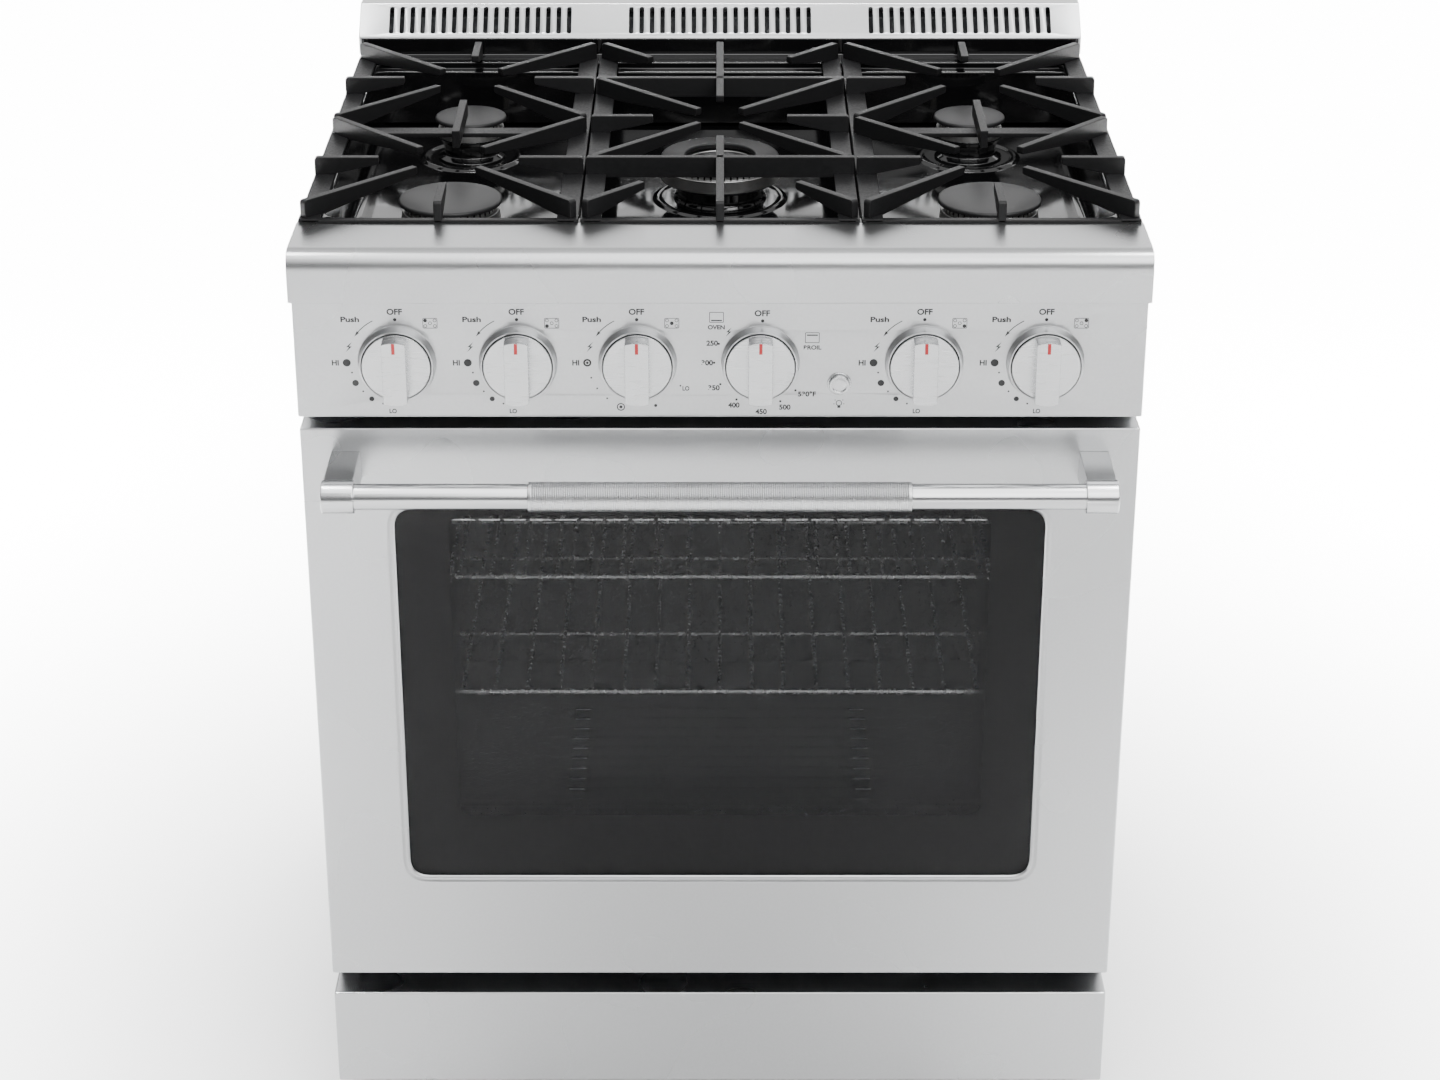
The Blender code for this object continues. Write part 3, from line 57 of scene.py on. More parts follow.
# ---------------------------------------------------------------- where the frame puts things
SIDE_BURNERS = ("left_rear", "left_front", "right_front", "right_rear")
TOP_KNOBS = ("left_rear", "left_front", "centre", "right_front", "right_rear")
FRONT = Matrix.Rotation(math.radians(90), 4, "X")  # local XY to the front plane, +Z to the front
BACK = Matrix(((-1, 0, 0, 0), (0, 0, 1, 0), (0, 1, 0, 0), (0, 0, 0, 1)))  # the same for the rear
SIDEWAYS = Matrix(((0, 0, 1, 0), (1, 0, 0, 0), (0, 1, 0, 0), (0, 0, 0, 1)))  # local XY to world YZ
INK_THICKNESS = 0.0001
SHEET = 0.0015
THIN_SHEET = 0.0012
FLAT = 5  # degrees: a folded sheet is shaded smooth only across bends shallower than this
MERGE = 0.000002


def corners(node):
    """Lowest and highest corner of a frame node, as vectors."""
    low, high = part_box(node)
    return Vector(low), Vector(high)


def middle(node):
    low, high = corners(node)
    return (low + high) / 2


def in_plan(node):
    """The middle of a frame node, dropped to the floor."""
    at = middle(node)
    return at.x, at.y, 0


def half_width(node):
    low, high = corners(node)
    return (high.x - low.x) / 2


# ---------------------------------------------------------------- sizes and colours a user may change
def length(name, description, default):
    return FloatProperty(name=name, description=description, default=default, unit="LENGTH", precision=5)


def linear(hex_colour):
    """An sRGB hex colour as the linear colour that a shader takes."""
    channels = [int(hex_colour[i : i + 2], 16) / 255 for i in (1, 3, 5)]
    return (*[c / 12.92 if c <= 0.04045 else ((c + 0.055) / 1.055) ** 2.4 for c in channels], 1.0)


def colour(name, description, hex_colour):
    return FloatVectorProperty(
        name=name, description=description, default=linear(hex_colour), size=4, subtype="COLOR", min=0, max=1
    )


class RangeSizes(bpy.types.PropertyGroup):
    edge: length("Sheet Edge", "Radius of the folded edges of the sheet metal", 0.0018)
    collar_height: length("Collar Height", "Knob collar in front of the control panel", 0.011)
    collar_root: length("Collar Root", "Outer radius of a knob collar at the panel", 0.0348)
    collar_top: length("Collar Top", "Outer radius of a knob collar at its rim", 0.0330)
    collar_bore: length("Collar Bore", "Inner radius of a knob collar", 0.0315)
    knob_disc: length("Knob Disc", "Front of a knob's disc before the panel", 0.0125)
    knob_grip: length("Knob Grip", "Width of the bar across a knob", 0.0212)
    mark_width: length("Mark Width", "Width of the red line on a knob", 0.0030)
    mark_length: length("Mark Length", "Length of the red line on a knob", 0.0100)
    button_ring: length("Button Ring", "Width of the ring round the light button", 0.0012)
    rail_curve: length("Rail Curve", "Radius of the front rail's upper edge", 0.018)
    rim_slope: length("Window Rim", "Width of the pressed rim round the window", 0.0077)
    rim_depth: length("Window Rim Depth", "How far the rim is pressed in", 0.0018)
    window_width: length("Window Width", "Width of the window's opening", 0.596)
    window_height: length("Window Height", "Height of the window's opening", 0.387)
    window_low: length("Window Height Above Floor", "Lower edge of the window's opening", 0.270)
    window_corner: length("Window Corner", "Corner radius of the window", 0.019)
    clear_width: length("Clear Zone Width", "Part of the glass without a black border", 0.498)
    clear_low: length("Clear Zone Low", "Lower edge of the clear zone above the floor", 0.334)
    clear_high: length("Clear Zone High", "Upper edge of the clear zone above the floor", 0.649)
    grip_length: length("Grip Length", "Length of the knurled sleeve on the handle", 0.338)
    grip_pitch: length("Knurl Pitch", "Spacing of the rings on the knurled sleeve", 0.00195)
    bar_radius: length("Bar Radius", "Radius of the handle bar", 0.0117)
    grip_radius: length("Grip Radius", "Radius of the knurled sleeve", 0.0135)
    post_radius: length("Post Radius", "Radius of the handle's end caps", 0.015)
    pan_corner: length("Pan Corner", "Corner radius of the cooktop pan", 0.022)
    finger_width: length("Grate Bar", "Width of a grate bar", 0.0075)
    finger_corner: length("Grate Corner", "Rounding of a grate bar's outer corner", 0.0035)
    strip_width: length("Grate Strip", "Width of the strips a grate stands on", 0.019)
    slot_width: length("Vent Slot Width", "Width of a slot in the vent trim", 0.0049)
    slot_length: length("Vent Slot Length", "Length of a slot in the vent trim", 0.034)
    slot_pitch: length("Vent Slot Pitch", "Spacing of the slots in the vent trim", 0.011)
    slot_count: IntProperty(name="Vent Slots", description="Slots in each of three groups", default=18, min=1)
    rack_pitch: length("Rack Pitch", "Spacing of the rack's wires", 0.031)
    rack_wire: length("Rack Wire", "Radius of the rack's thin wires", 0.0018)
    rack_frame: length("Rack Frame", "Radius of the rack's frame", 0.0025)


class RangeColours(bpy.types.PropertyGroup):
    stainless: colour("Stainless", "Satin stainless sheet", "#BDBEBF")
    polished: colour("Polished Stainless", "Handle bar and posts", "#D2D3D4")
    knob: colour("Knob", "Satin plated knobs", "#C9CACB")
    paint: colour("Side Paint", "Painted side panels", "#2B2C2E")
    galvanised: colour("Galvanised Steel", "Rear panel and base", "#787D81")
    steel: colour("Zinc Plated Steel", "Hinges, stems and screws", "#999C9F")
    enamel: colour("Cooktop Enamel", "Gloss black porcelain enamel", "#0B0B0C")
    cap: colour("Cap Enamel", "Matt black enamel on the caps", "#1A1A1B")
    iron: colour("Cast Iron", "Enamelled cast iron grates", "#141415")
    aluminium: colour("Cast Aluminium", "Burner heads", "#B4B4B3")
    oven: colour("Oven Enamel", "Speckled grey porcelain enamel", "#1C1D20")
    chrome: colour("Chrome Wire", "Oven racks", "#DADBDC")
    glass: colour("Window Glass", "Tinted oven glass", "#08090A")
    ink: colour("Ink", "Printed dial marks", "#0B0B0C")
    mark: colour("Knob Mark", "Red line on the knobs", "#A3161C")
    floor: colour("Studio Floor", "Pale studio floor", "#F2F2F2")


# ---------------------------------------------------------------- shapes
def turned(profile, steps=64):
    """A profile (radius, height) spun round Z. A profile that ends where it begins gives a ring."""
    bm = bmesh.new()
    verts = [bm.verts.new((radius, 0, height)) for radius, height in profile]
    edges = [bm.edges.new(pair) for pair in zip(verts, verts[1:])]
    around = {"cent": (0, 0, 0), "axis": (0, 0, 1), "angle": math.tau}
    bmesh.ops.spin(bm, geom=verts + edges, steps=steps, use_merge=True, **around)
    bmesh.ops.remove_doubles(bm, verts=bm.verts, dist=MERGE)
    bmesh.ops.recalc_face_normals(bm, faces=bm.faces)
    return bm


def rounded(points, closed=False, steps=4):
    """The points of a line through (u, v) or (u, v, radius), with each corner rounded by its radius."""
    route = []
    count = len(points)
    for index, (u, v, *radius) in enumerate(points):
        here = Vector((u, v))
        if not radius or radius[0] <= 0 or (not closed and index in (0, count - 1)):
            route.append(tuple(here))
            continue
        before, after = Vector(points[index - 1][:2]), Vector(points[(index + 1) % count][:2])
        start = here + (before - here).normalized() * radius[0]
        end = here + (after - here).normalized() * radius[0]
        for step in range(steps + 1):
            t = step / steps
            route.append(tuple(start.lerp(here, t).lerp(here.lerp(end, t), t)))
    return route


def oval(width, height, radius, x=0.0, y=0.0, steps=4):
    """The outline of a rounded rectangle round (x, y), anticlockwise."""
    half, tall = width / 2, height / 2
    ends = [(half, tall), (-half, tall), (-half, -tall), (half, -tall)]
    return rounded([(x + u, y + v, radius) for u, v in ends], closed=True, steps=steps)


def circle(radius, x=0.0, y=0.0, sides=48):
    turns = [math.tau * side / sides for side in range(sides)]
    return [(x + radius * math.cos(turn), y + radius * math.sin(turn)) for turn in turns]


def loop(bm, outline, height):
    """A closed loop of edges at a height: its points and its edges."""
    verts = [bm.verts.new((u, v, height)) for u, v in outline]
    return verts, [bm.edges.new(pair) for pair in zip(verts, verts[1:] + verts[:1])]


def lofted(bm, rings):
    """Extrudes the first outline through the others, which have as many points. Returns the end loops."""
    verts, edges = loop(bm, *rings[0])
    first = edges
    for outline, height in rings[1:]:
        swept = bmesh.ops.extrude_edge_only(bm, edges=edges)["geom"]
        fresh = {v for v in swept if isinstance(v, bmesh.types.BMVert)}
        verts = [next(e.other_vert(v) for e in v.link_edges if e.other_vert(v) in fresh) for v in verts]
        edges = [e for e in swept if isinstance(e, bmesh.types.BMEdge) and fresh.issuperset(e.verts)]
        for vert, (u, v) in zip(verts, outline):
            vert.co = (u, v, height)
    return first, edges


def filled(bm, edges):
    bmesh.ops.triangle_fill(bm, use_beauty=True, use_dissolve=False, edges=edges)


def prism(outline, start, end):
    """A closed outline swept from one height to another."""
    bm = bmesh.new()
    face = bm.faces.new([bm.verts.new((u, v, start)) for u, v in outline])
    swept = bmesh.ops.extrude_face_region(bm, geom=[face])["geom"]
    moved = [v for v in swept if isinstance(v, bmesh.types.BMVert)]
    bmesh.ops.translate(bm, verts=moved, vec=(0, 0, end - start))
    bmesh.ops.recalc_face_normals(bm, faces=bm.faces)
    return bm


def sharp(bm, degrees=40):
    """The edges where two faces meet at more than an angle."""
    bm.normal_update()
    limit = math.radians(degrees)
    return [e for e in bm.edges if len(e.link_faces) == 2 and e.calc_face_angle(0) > limit]


def soften(bm, edges, offset, segments=2):
    bmesh.ops.bevel(
        bm,
        geom=list(edges),
        offset=offset,
        offset_type="OFFSET",
        segments=segments,
        profile=0.5,
        affect="EDGES",
        clamp_overlap=True,
        material=-1,
    )
    return bm


def block(low, high, edge=0.001, segments=2):
    """A box between two corners with rounded edges."""
    low, high = Vector(low), Vector(high)
    bm = bmesh.new()
    place = Matrix.Translation((low + high) / 2) @ Matrix.Diagonal((*(high - low), 1))
    bmesh.ops.create_cube(bm, size=1, matrix=place)
    return soften(bm, bm.edges, edge, segments) if edge else bm


def rod(start, end, radius, sides=10):
    """A closed round bar between two points."""
    start, end = Vector(start), Vector(end)
    turn = Vector((0, 0, 1)).rotation_difference(end - start).to_matrix().to_4x4()
    bm = bmesh.new()
    bmesh.ops.create_cone(
        bm,
        cap_ends=True,
        segments=sides,
        radius1=radius,
        radius2=radius,
        depth=(end - start).length,
        matrix=Matrix.Translation((start + end) / 2) @ turn,
    )
    return bm


def wire(points, radius, cyclic=True, resolution=3):
    """A round wire through points, as a mesh."""
    data = bpy.data.curves.new("wire", "CURVE")
    data.dimensions = "3D"
    data.bevel_depth = radius
    data.bevel_resolution = resolution
    data.use_fill_caps = True
    line = data.splines.new("POLY")
    line.points.add(len(points) - 1)
    for point, place in zip(line.points, points):
        point.co = (*place, 1)
    line.use_cyclic_u = cyclic
    return meshed(bpy.data.objects.new("wire", data))


def meshed(obj):
    """The bmesh of a curve or text object, which is removed."""
    bpy.context.scene.collection.objects.link(obj)
    bpy.context.view_layer.update()
    graph = bpy.context.evaluated_depsgraph_get()
    mesh = bpy.data.meshes.new_from_object(obj.evaluated_get(graph))
    bpy.data.objects.remove(obj)
    bm = bmesh.new()
    bm.from_mesh(mesh)
    bpy.data.meshes.remove(mesh)
    bmesh.ops.remove_doubles(bm, verts=bm.verts, dist=MERGE)
    bmesh.ops.recalc_face_normals(bm, faces=bm.faces)
    return bm


def placed(bm, *steps):
    """Moves a shape by each matrix or shift in turn."""
    for step in steps:
        bm.transform(step if isinstance(step, Matrix) else Matrix.Translation(step))
    return bm


def tinted(bm, index):
    """Gives every face of a shape the material slot of that number."""
    for face in bm.faces:
        face.material_index = index
    return bm


def gathered(shapes):
    """One shape that holds several, which are freed."""
    whole = bmesh.new()
    for shape in shapes:
        part = bpy.data.meshes.new("part")
        shape.to_mesh(part)
        shape.free()
        whole.from_mesh(part)
        bpy.data.meshes.remove(part)
    return whole


def facing(bm, direction):
    """Makes the faces of an open sheet agree, with most of their area towards a direction."""
    bmesh.ops.recalc_face_normals(bm, faces=bm.faces)
    bm.normal_update()
    total = Vector()
    for face in bm.faces:
        total += face.normal * face.calc_area()
    if total.dot(Vector(direction)) < 0:
        bmesh.ops.reverse_faces(bm, faces=bm.faces)
    return bm


def piece(bm, name, finishes, body, nodes=(), smooth=35, wall=0.0):
    """A finished piece of the range: its mesh, materials, body and the frame nodes it stands for."""
    mesh = bpy.data.meshes.new(name)
    bm.to_mesh(mesh)
    bm.free()
    for material in (finishes,) if isinstance(finishes, str) else finishes:
        mesh.materials.append(bpy.data.materials[material])
    mesh.shade_smooth()
    mesh.set_sharp_from_angle(angle=math.radians(smooth))
    obj = bpy.data.objects.new(name, mesh)
    bpy.context.scene.collection.objects.link(obj)
    if wall:
        sheet = obj.modifiers.new("Wall", "SOLIDIFY")
        sheet.thickness = wall
        sheet.offset = -1
        sheet.use_quality_normals = True
    level = obj.modifiers.new("Flat Faces", "WEIGHTED_NORMAL")
    level.keep_sharp = True
    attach(obj, body)
    if nodes:
        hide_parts(*nodes)
    return obj


def folded(low, high, depth, edge, holes=(), corner=0.0006):
    """A sheet with a folded edge in the local XY plane: its front at height 0, its fold going down.

    Each hole is a list of rings (outline, height); the first lies in the sheet's plane.
    """
    width, tall = high[0] - low[0], high[1] - low[1]
    x, y = (low[0] + high[0]) / 2, (low[1] + high[1]) / 2
    bm = bmesh.new()
    rings = []
    for inset, height in rounded([(0, -depth), (0, 0, edge), (2 * edge, 0)]):
        radius = max(corner, edge * 1.2) - min(inset, edge) * 0.5
        rings.append((oval(width - 2 * inset, tall - 2 * inset, radius, x, y), height))
    _, last = lofted(bm, rings)
    border = list(last)
    for hole in holes:
        border += lofted(bm, hole)[0]
    filled(bm, border)
    return facing(bm, (0, 0, 1))


# ---------------------------------------------------------------- finishes
def add_node(tree, kind, values=None, links=None, **settings):
    """Adds a node: settings are its attributes, values its sockets' numbers, links what feeds them."""
    node = tree.nodes.new(kind)
    for name, value in settings.items():
        setattr(node, name, value)
    for socket, value in (values or {}).items():
        node.inputs[socket].default_value = value
    for socket, source in (links or {}).items():
        tree.links.new(source, node.inputs[socket])
    return node


def finish(name, base, metallic, roughness, **sockets):
    """A material with its shader set. Returns its tree, shader and object coordinates."""
    material = bpy.data.materials.new(name)
    material.use_nodes = True
    tree = material.node_tree
    shader = tree.nodes["Principled BSDF"]
    shader.inputs["Base Color"].default_value = base
    shader.inputs["Metallic"].default_value = metallic
    shader.inputs["Roughness"].default_value = roughness
    for socket, value in sockets.items():
        shader.inputs[socket.replace("_", " ")].default_value = value
    return tree, shader, add_node(tree, "ShaderNodeTexCoord").outputs["Object"]


def grain(tree, where, size, stretch=(1, 1, 1), detail=2.0):
    """Noise whose spots are about one size, in metres, longer along an axis with a small stretch."""
    mapped = add_node(tree, "ShaderNodeMapping", {"Scale": stretch}, {"Vector": where})
    values = {"Scale": 0.6 / size, "Detail": detail, "Roughness": 0.55}
    return add_node(tree, "ShaderNodeTexNoise", values, {"Vector": mapped.outputs[0]}).outputs["Fac"]


def spread(tree, source, low, high):
    """A pattern's middle range stretched between two values."""
    values = {"From Min": 0.3, "From Max": 0.7, "To Min": low, "To Max": high}
    return add_node(tree, "ShaderNodeMapRange", values, {"Value": source}).outputs[0]


def relief(tree, shader, height, depth, strength=1.0):
    """Small surface relief of a depth in metres."""
    values = {"Strength": strength, "Distance": depth}
    bump = add_node(tree, "ShaderNodeBump", values, {"Height": height})
    tree.links.new(bump.outputs[0], shader.inputs["Normal"])


def shade(tree, shader, source, dark, light):
    """The base colour between two colours, by a pattern."""
    mix = add_node(tree, "ShaderNodeMix", {6: dark, 7: light}, {0: source}, data_type="RGBA")
    tree.links.new(mix.outputs[2], shader.inputs["Base Color"])


def scaled(rgba, factor):
    """A colour made lighter or darker."""
    return (*[min(c * factor, 1.0) for c in rgba[:3]], 1.0)


def make_metals(colours):
    # Bead-blasted stainless sheet: an even silk with a grain of about half a millimetre, drawn a little
    # coarser than it is so that it shows, and reflections wide enough to lose their edges.
    base = tuple(colours.stainless)
    tree, shader, where = finish("satin_stainless", base, 1.0, 0.28)
    fine = grain(tree, where, 0.0015)
    wide = grain(tree, where, 0.09, detail=1.0)
    tree.links.new(spread(tree, wide, 0.265, 0.295), shader.inputs["Roughness"])
    shade(tree, shader, fine, scaled(base, 0.93), scaled(base, 1.05))
    relief(tree, shader, fine, 0.00003, 0.5)

    # Drawn and polished stainless tube: faint lines along the bar, narrow bright reflections.
    base = tuple(colours.polished)
    tree, shader, where = finish("polished_stainless", base, 1.0, 0.2)
    lines = grain(tree, where, 0.0006, stretch=(0.02, 1, 1))
    tree.links.new(spread(tree, lines, 0.17, 0.21), shader.inputs["Roughness"])

    # Knurled stainless sleeve: the ridges are in the mesh, and their flanks are a little duller.
    tree, shader, where = finish("knurled_stainless", scaled(base, 0.86), 1.0, 0.3)
    cuts = grain(tree, where, 0.0012)
    tree.links.new(spread(tree, cuts, 0.26, 0.36), shader.inputs["Roughness"])

    # Satin nickel plating on a zinc casting: soft, slightly brighter than the panel, fine lines across.
    base = tuple(colours.knob)
    tree, shader, where = finish("satin_nickel", base, 1.0, 0.26)
    lines = grain(tree, where, 0.0007, stretch=(0.05, 1, 1))
    tree.links.new(spread(tree, lines, 0.25, 0.28), shader.inputs["Roughness"])

    # Die-cast aluminium, turned on its rim: bright with a sandy skin.
    base = tuple(colours.aluminium)
    tree, shader, where = finish("cast_aluminium", base, 1.0, 0.34)
    skin = grain(tree, where, 0.0014)
    tree.links.new(spread(tree, skin, 0.28, 0.42), shader.inputs["Roughness"])
    relief(tree, shader, skin, 0.00008, 0.4)

    # Dark, dull aluminium for the insides of the burner ports and the screws' cross recesses: painted shade
    # where these recesses lie in shadow.
    tree, shader, where = finish("painted_recess_shade", linear("#1B1A19"), 0.4, 0.7)
    relief(tree, shader, grain(tree, where, 0.001), 0.0001, 0.5)

    # Bright chrome on steel wire: a mirror with hardly any texture.
    tree, shader, where = finish("chrome_wire", tuple(colours.chrome), 1.0, 0.25)
    tree.links.new(spread(tree, grain(tree, where, 0.004), 0.22, 0.30), shader.inputs["Roughness"])

    # Hot-dip galvanised sheet: flat crystals 8 to 15 mm across, each with its own tone.
    base = tuple(colours.galvanised)
    tree, shader, where = finish("galvanised_sheet", base, 1.0, 0.45)
    cells = add_node(tree, "ShaderNodeTexVoronoi", {"Scale": 1 / 0.012}, {"Vector": where})
    tone = add_node(tree, "ShaderNodeRGBToBW", None, {"Color": cells.outputs["Color"]}).outputs[0]
    shade(tree, shader, tone, scaled(base, 0.6), scaled(base, 1.25))
    tree.links.new(spread(tree, tone, 0.38, 0.52), shader.inputs["Roughness"])

    # Zinc-plated steel: pale, faintly mottled.
    base = tuple(colours.steel)
    tree, shader, where = finish("zinc_plated_steel", base, 1.0, 0.38)
    mottle = grain(tree, where, 0.006)
    shade(tree, shader, mottle, scaled(base, 0.85), scaled(base, 1.08))
    tree.links.new(spread(tree, mottle, 0.32, 0.45), shader.inputs["Roughness"])


def make_coatings(colours):
    # Porcelain enamel fired on steel: deep gloss with the slight ripple of a fired coat.
    tree, shader, where = finish("gloss_black_enamel", tuple(colours.enamel), 0.0, 0.07, IOR=1.54)
    tree.links.new(spread(tree, grain(tree, where, 0.03), 0.05, 0.10), shader.inputs["Roughness"])
    relief(tree, shader, grain(tree, where, 0.009, detail=0.0), 0.00004, 0.35)

    # Matt enamel on the burner caps: an eggshell sheen that goes grey towards a light.
    base = tuple(colours.cap)
    tree, shader, where = finish("matt_cap_enamel", base, 0.0, 0.42, IOR=1.5, Specular_IOR_Level=0.35)
    skin = grain(tree, where, 0.0016)
    shade(tree, shader, skin, scaled(base, 0.9), scaled(base, 1.12))
    relief(tree, shader, skin, 0.00005, 0.4)

    # Enamelled cast iron: sand-cast pits about a millimetre across under a thin satin coat.
    base = tuple(colours.iron)
    tree, shader, where = finish("enamelled_cast_iron", base, 0.0, 0.46, IOR=1.5, Specular_IOR_Level=0.3)
    pits = grain(tree, where, 0.0013, detail=3.0)
    shade(tree, shader, pits, scaled(base, 0.82), scaled(base, 1.15))
    tree.links.new(spread(tree, pits, 0.40, 0.54), shader.inputs["Roughness"])
    relief(tree, shader, pits, 0.00012, 0.5)

    # Speckled oven enamel: dark grey with pale flecks under 2 mm.
    base = tuple(colours.oven)
    tree, shader, where = finish("speckled_oven_enamel", base, 0.0, 0.22, IOR=1.52)
    cells = add_node(tree, "ShaderNodeTexVoronoi", {"Scale": 1 / 0.004}, {"Vector": where})
    values = {"From Min": 0.12, "From Max": 0.2, "To Min": 1.0, "To Max": 0.0}
    fleck = add_node(tree, "ShaderNodeMapRange", values, {"Value": cells.outputs["Distance"]})
    shade(tree, shader, fleck.outputs[0], base, linear("#565A60"))

    # Textured paint on steel: a fine orange peel, satin.
    base = tuple(colours.paint)
    tree, shader, where = finish("painted_steel", base, 0.0, 0.42, IOR=1.5)
    peel = grain(tree, where, 0.0015, detail=1.0)
    tree.links.new(spread(tree, peel, 0.38, 0.48), shader.inputs["Roughness"])
    relief(tree, shader, peel, 0.00006, 0.5)

    # Moulded black nylon of the feet: dull with a spark-eroded texture.
    tree, shader, where = finish("moulded_nylon", linear("#1B1B1C"), 0.0, 0.55, IOR=1.5)
    relief(tree, shader, grain(tree, where, 0.0012), 0.0001, 0.5)

    # Woven glass-fibre rope round the oven's mouth: crossing threads about 2 mm wide.
    base = linear("#56544F")
    tree, shader, where = finish("woven_glass_fibre", base, 0.0, 0.9)
    values = {"Scale": 1 / 0.006, "Distortion": 0.6, "Detail": 1.0}
    threads = add_node(tree, "ShaderNodeTexWave", values, {"Vector": where}, bands_direction="DIAGONAL")
    shade(tree, shader, threads.outputs["Fac"], scaled(base, 0.6), scaled(base, 1.3))
    relief(tree, shader, threads.outputs["Fac"], 0.0004, 0.8)

    # Screen-printed ink: flat black and red with a slightly uneven edge of sheen.
    for name, base in (("printed_ink", tuple(colours.ink)), ("red_paint", tuple(colours.mark))):
        tree, shader, where = finish(name, base, 0.0, 0.45, IOR=1.5)
        tree.links.new(spread(tree, grain(tree, where, 0.002), 0.4, 0.5), shader.inputs["Roughness"])

    # Glazed alumina of the spark electrodes: off-white, glossy.
    tree, shader, where = finish("glazed_ceramic", linear("#D9D6CE"), 0.0, 0.2, IOR=1.6)
    tree.links.new(spread(tree, grain(tree, where, 0.003), 0.15, 0.28), shader.inputs["Roughness"])


def make_glasses(colours):
    # Tinted float glass: dark, mirror smooth, and clear enough to show the racks behind it.
    tree, shader, where = finish("tinted_glass", tuple(colours.glass), 0.0, 0.02, IOR=1.52, Alpha=0.25)
    tree.links.new(spread(tree, grain(tree, where, 0.2), 0.015, 0.03), shader.inputs["Roughness"])

    # Clear inner glass: only its reflection and a faint grey show.
    tree, shader, where = finish("clear_oven_glass", linear("#3A3E41"), 0.0, 0.02, IOR=1.52, Alpha=0.12)
    tree.links.new(spread(tree, grain(tree, where, 0.2), 0.015, 0.03), shader.inputs["Roughness"])

    # Black ceramic print fired on the back of the glass: flat and even, seen through it.
    base = linear("#070708")
    tree, shader, where = finish("ceramic_print", base, 0.0, 0.5, IOR=1.5, Specular_IOR_Level=0.1)
    tree.links.new(spread(tree, grain(tree, where, 0.004), 0.45, 0.55), shader.inputs["Roughness"])

    # Pressed glass of the lamp cover: greenish white, a little wavy.
    tree, shader, where = finish("lamp_glass", linear("#AEB6B4"), 0.0, 0.1, IOR=1.5, Alpha=0.6)
    relief(tree, shader, grain(tree, where, 0.006), 0.0003, 0.4)


FRAME_FINISHES = {
    "painted_steel": ("side_panel_left", "side_panel_right"),
    "galvanised_sheet": ("base_pan",),
    "zinc_plated_steel": (
        "hinge_bracket_left",
        "hinge_bracket_right",
        "hinge_arm_left",
        "hinge_arm_right",
        "bake_burner",
        "broil_burner",
        *[f"stem_{name}" for name in (*TOP_KNOBS, "oven")],
    ),
    "cast_aluminium": ("gas_manifold",),
    "speckled_oven_enamel": ("oven_liner", "oven_floor"),
    "woven_glass_fibre": ("door_gasket",),
    "clear_oven_glass": ("door_glass_inner",),
    "lamp_glass": ("oven_lamp",),
}


def finish_frame():
    """Gives the frame's own nodes that stay in view their finish."""
    for name, nodes in FRAME_FINISHES.items():
        for node in nodes:
            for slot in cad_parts[node].material_slots:
                slot.material = bpy.data.materials[name]


# ---------------------------------------------------------------- body
SCREW_HEIGHT = 0.002
GAS_INLET = (-0.335, 0.118)  # where the manifold's tail meets the back: across, and above the floor


def make_control_panel(sizes):
    """The pressed panel with the collars round its knobs. Returns where its face is."""
    low, high = corners("control_panel")
    face = low.y + sizes.collar_height
    knobs = [middle(f"knob_{name}") for name in (*TOP_KNOBS, "oven")]
    button = middle("light_button")
    button_low, button_high = corners("light_button")
    button_bore = (button_high.z - button_low.z) / 2 - 0.0027
    holes = [[(circle(sizes.collar_bore, knob.x, knob.z), 0.0)] for knob in knobs]
    holes.append([(circle(button_bore, button.x, button.z, 32), 0.0)])
    sheet = folded((low.x, low.z), (high.x, high.z), high.y - face, sizes.edge, holes)
    placed(sheet, FRONT, (0, face, 0))
    nodes = ["control_panel"]
    piece(sheet, "panel_sheet", "satin_stainless", "body", nodes, smooth=FLAT, wall=SHEET)
    top, root = sizes.collar_height, sizes.collar_root + 0.0012
    profile = [(root, 0.0001), (sizes.collar_root, 0.0002, 0.0008), (sizes.collar_top, top, 0.0006)]
    profile += [(sizes.collar_bore, top, 0.0004), (sizes.collar_bore, -SHEET), (root, -SHEET), (root, 0.0001)]
    collars = [placed(turned(rounded(profile), 96), FRONT, (knob.x, face, knob.z)) for knob in knobs]
    piece(gathered(collars), "knob_collars", "satin_stainless", "body")
    ring = button_bore + sizes.button_ring
    profile = [(button_bore, -SHEET), (button_bore, 0.0012, 0.0003), (ring, 0.0012, 0.0008)]
    profile += [(ring + 0.0004, 0), (ring, -SHEET), (button_bore, -SHEET)]
    bezel = placed(turned(rounded(profile), 48), FRONT, (button.x, face, button.z))
    piece(bezel, "button_bezel", "satin_nickel", "body")
    return face


def flat(outline):
    bm = bmesh.new()
    bm.faces.new([bm.verts.new((u, v, 0)) for u, v in outline])
    return bm


def outlined(outer, inner):
    """A flat ring between two outlines."""
    bm = bmesh.new()
    lofted(bm, [(outer, 0), (inner, 0)])
    return bm


def dot(x, y, diameter):
    return flat(circle(diameter / 2, x, y, 24))


def ring_mark(x, y, diameter, line):
    return outlined(circle(diameter / 2, x, y, 28), circle(diameter / 2 - line, x, y, 28))


def lettering(text, width, height, x, y):
    """Plain capitals or numbers, fitted to a width and height round a point."""
    data = bpy.data.curves.new("lettering", "FONT")
    data.body = text
    data.offset = 0.036
    bm = meshed(bpy.data.objects.new("lettering", data))
    low = Vector([min(v.co[axis] for v in bm.verts) for axis in range(3)])
    high = Vector([max(v.co[axis] for v in bm.verts) for axis in range(3)])
    size = high - low
    fit = Matrix.Diagonal((width / size.x, height / size.y, 1, 1))
    return placed(bm, -(low + high) / 2, fit, (x, y, 0))


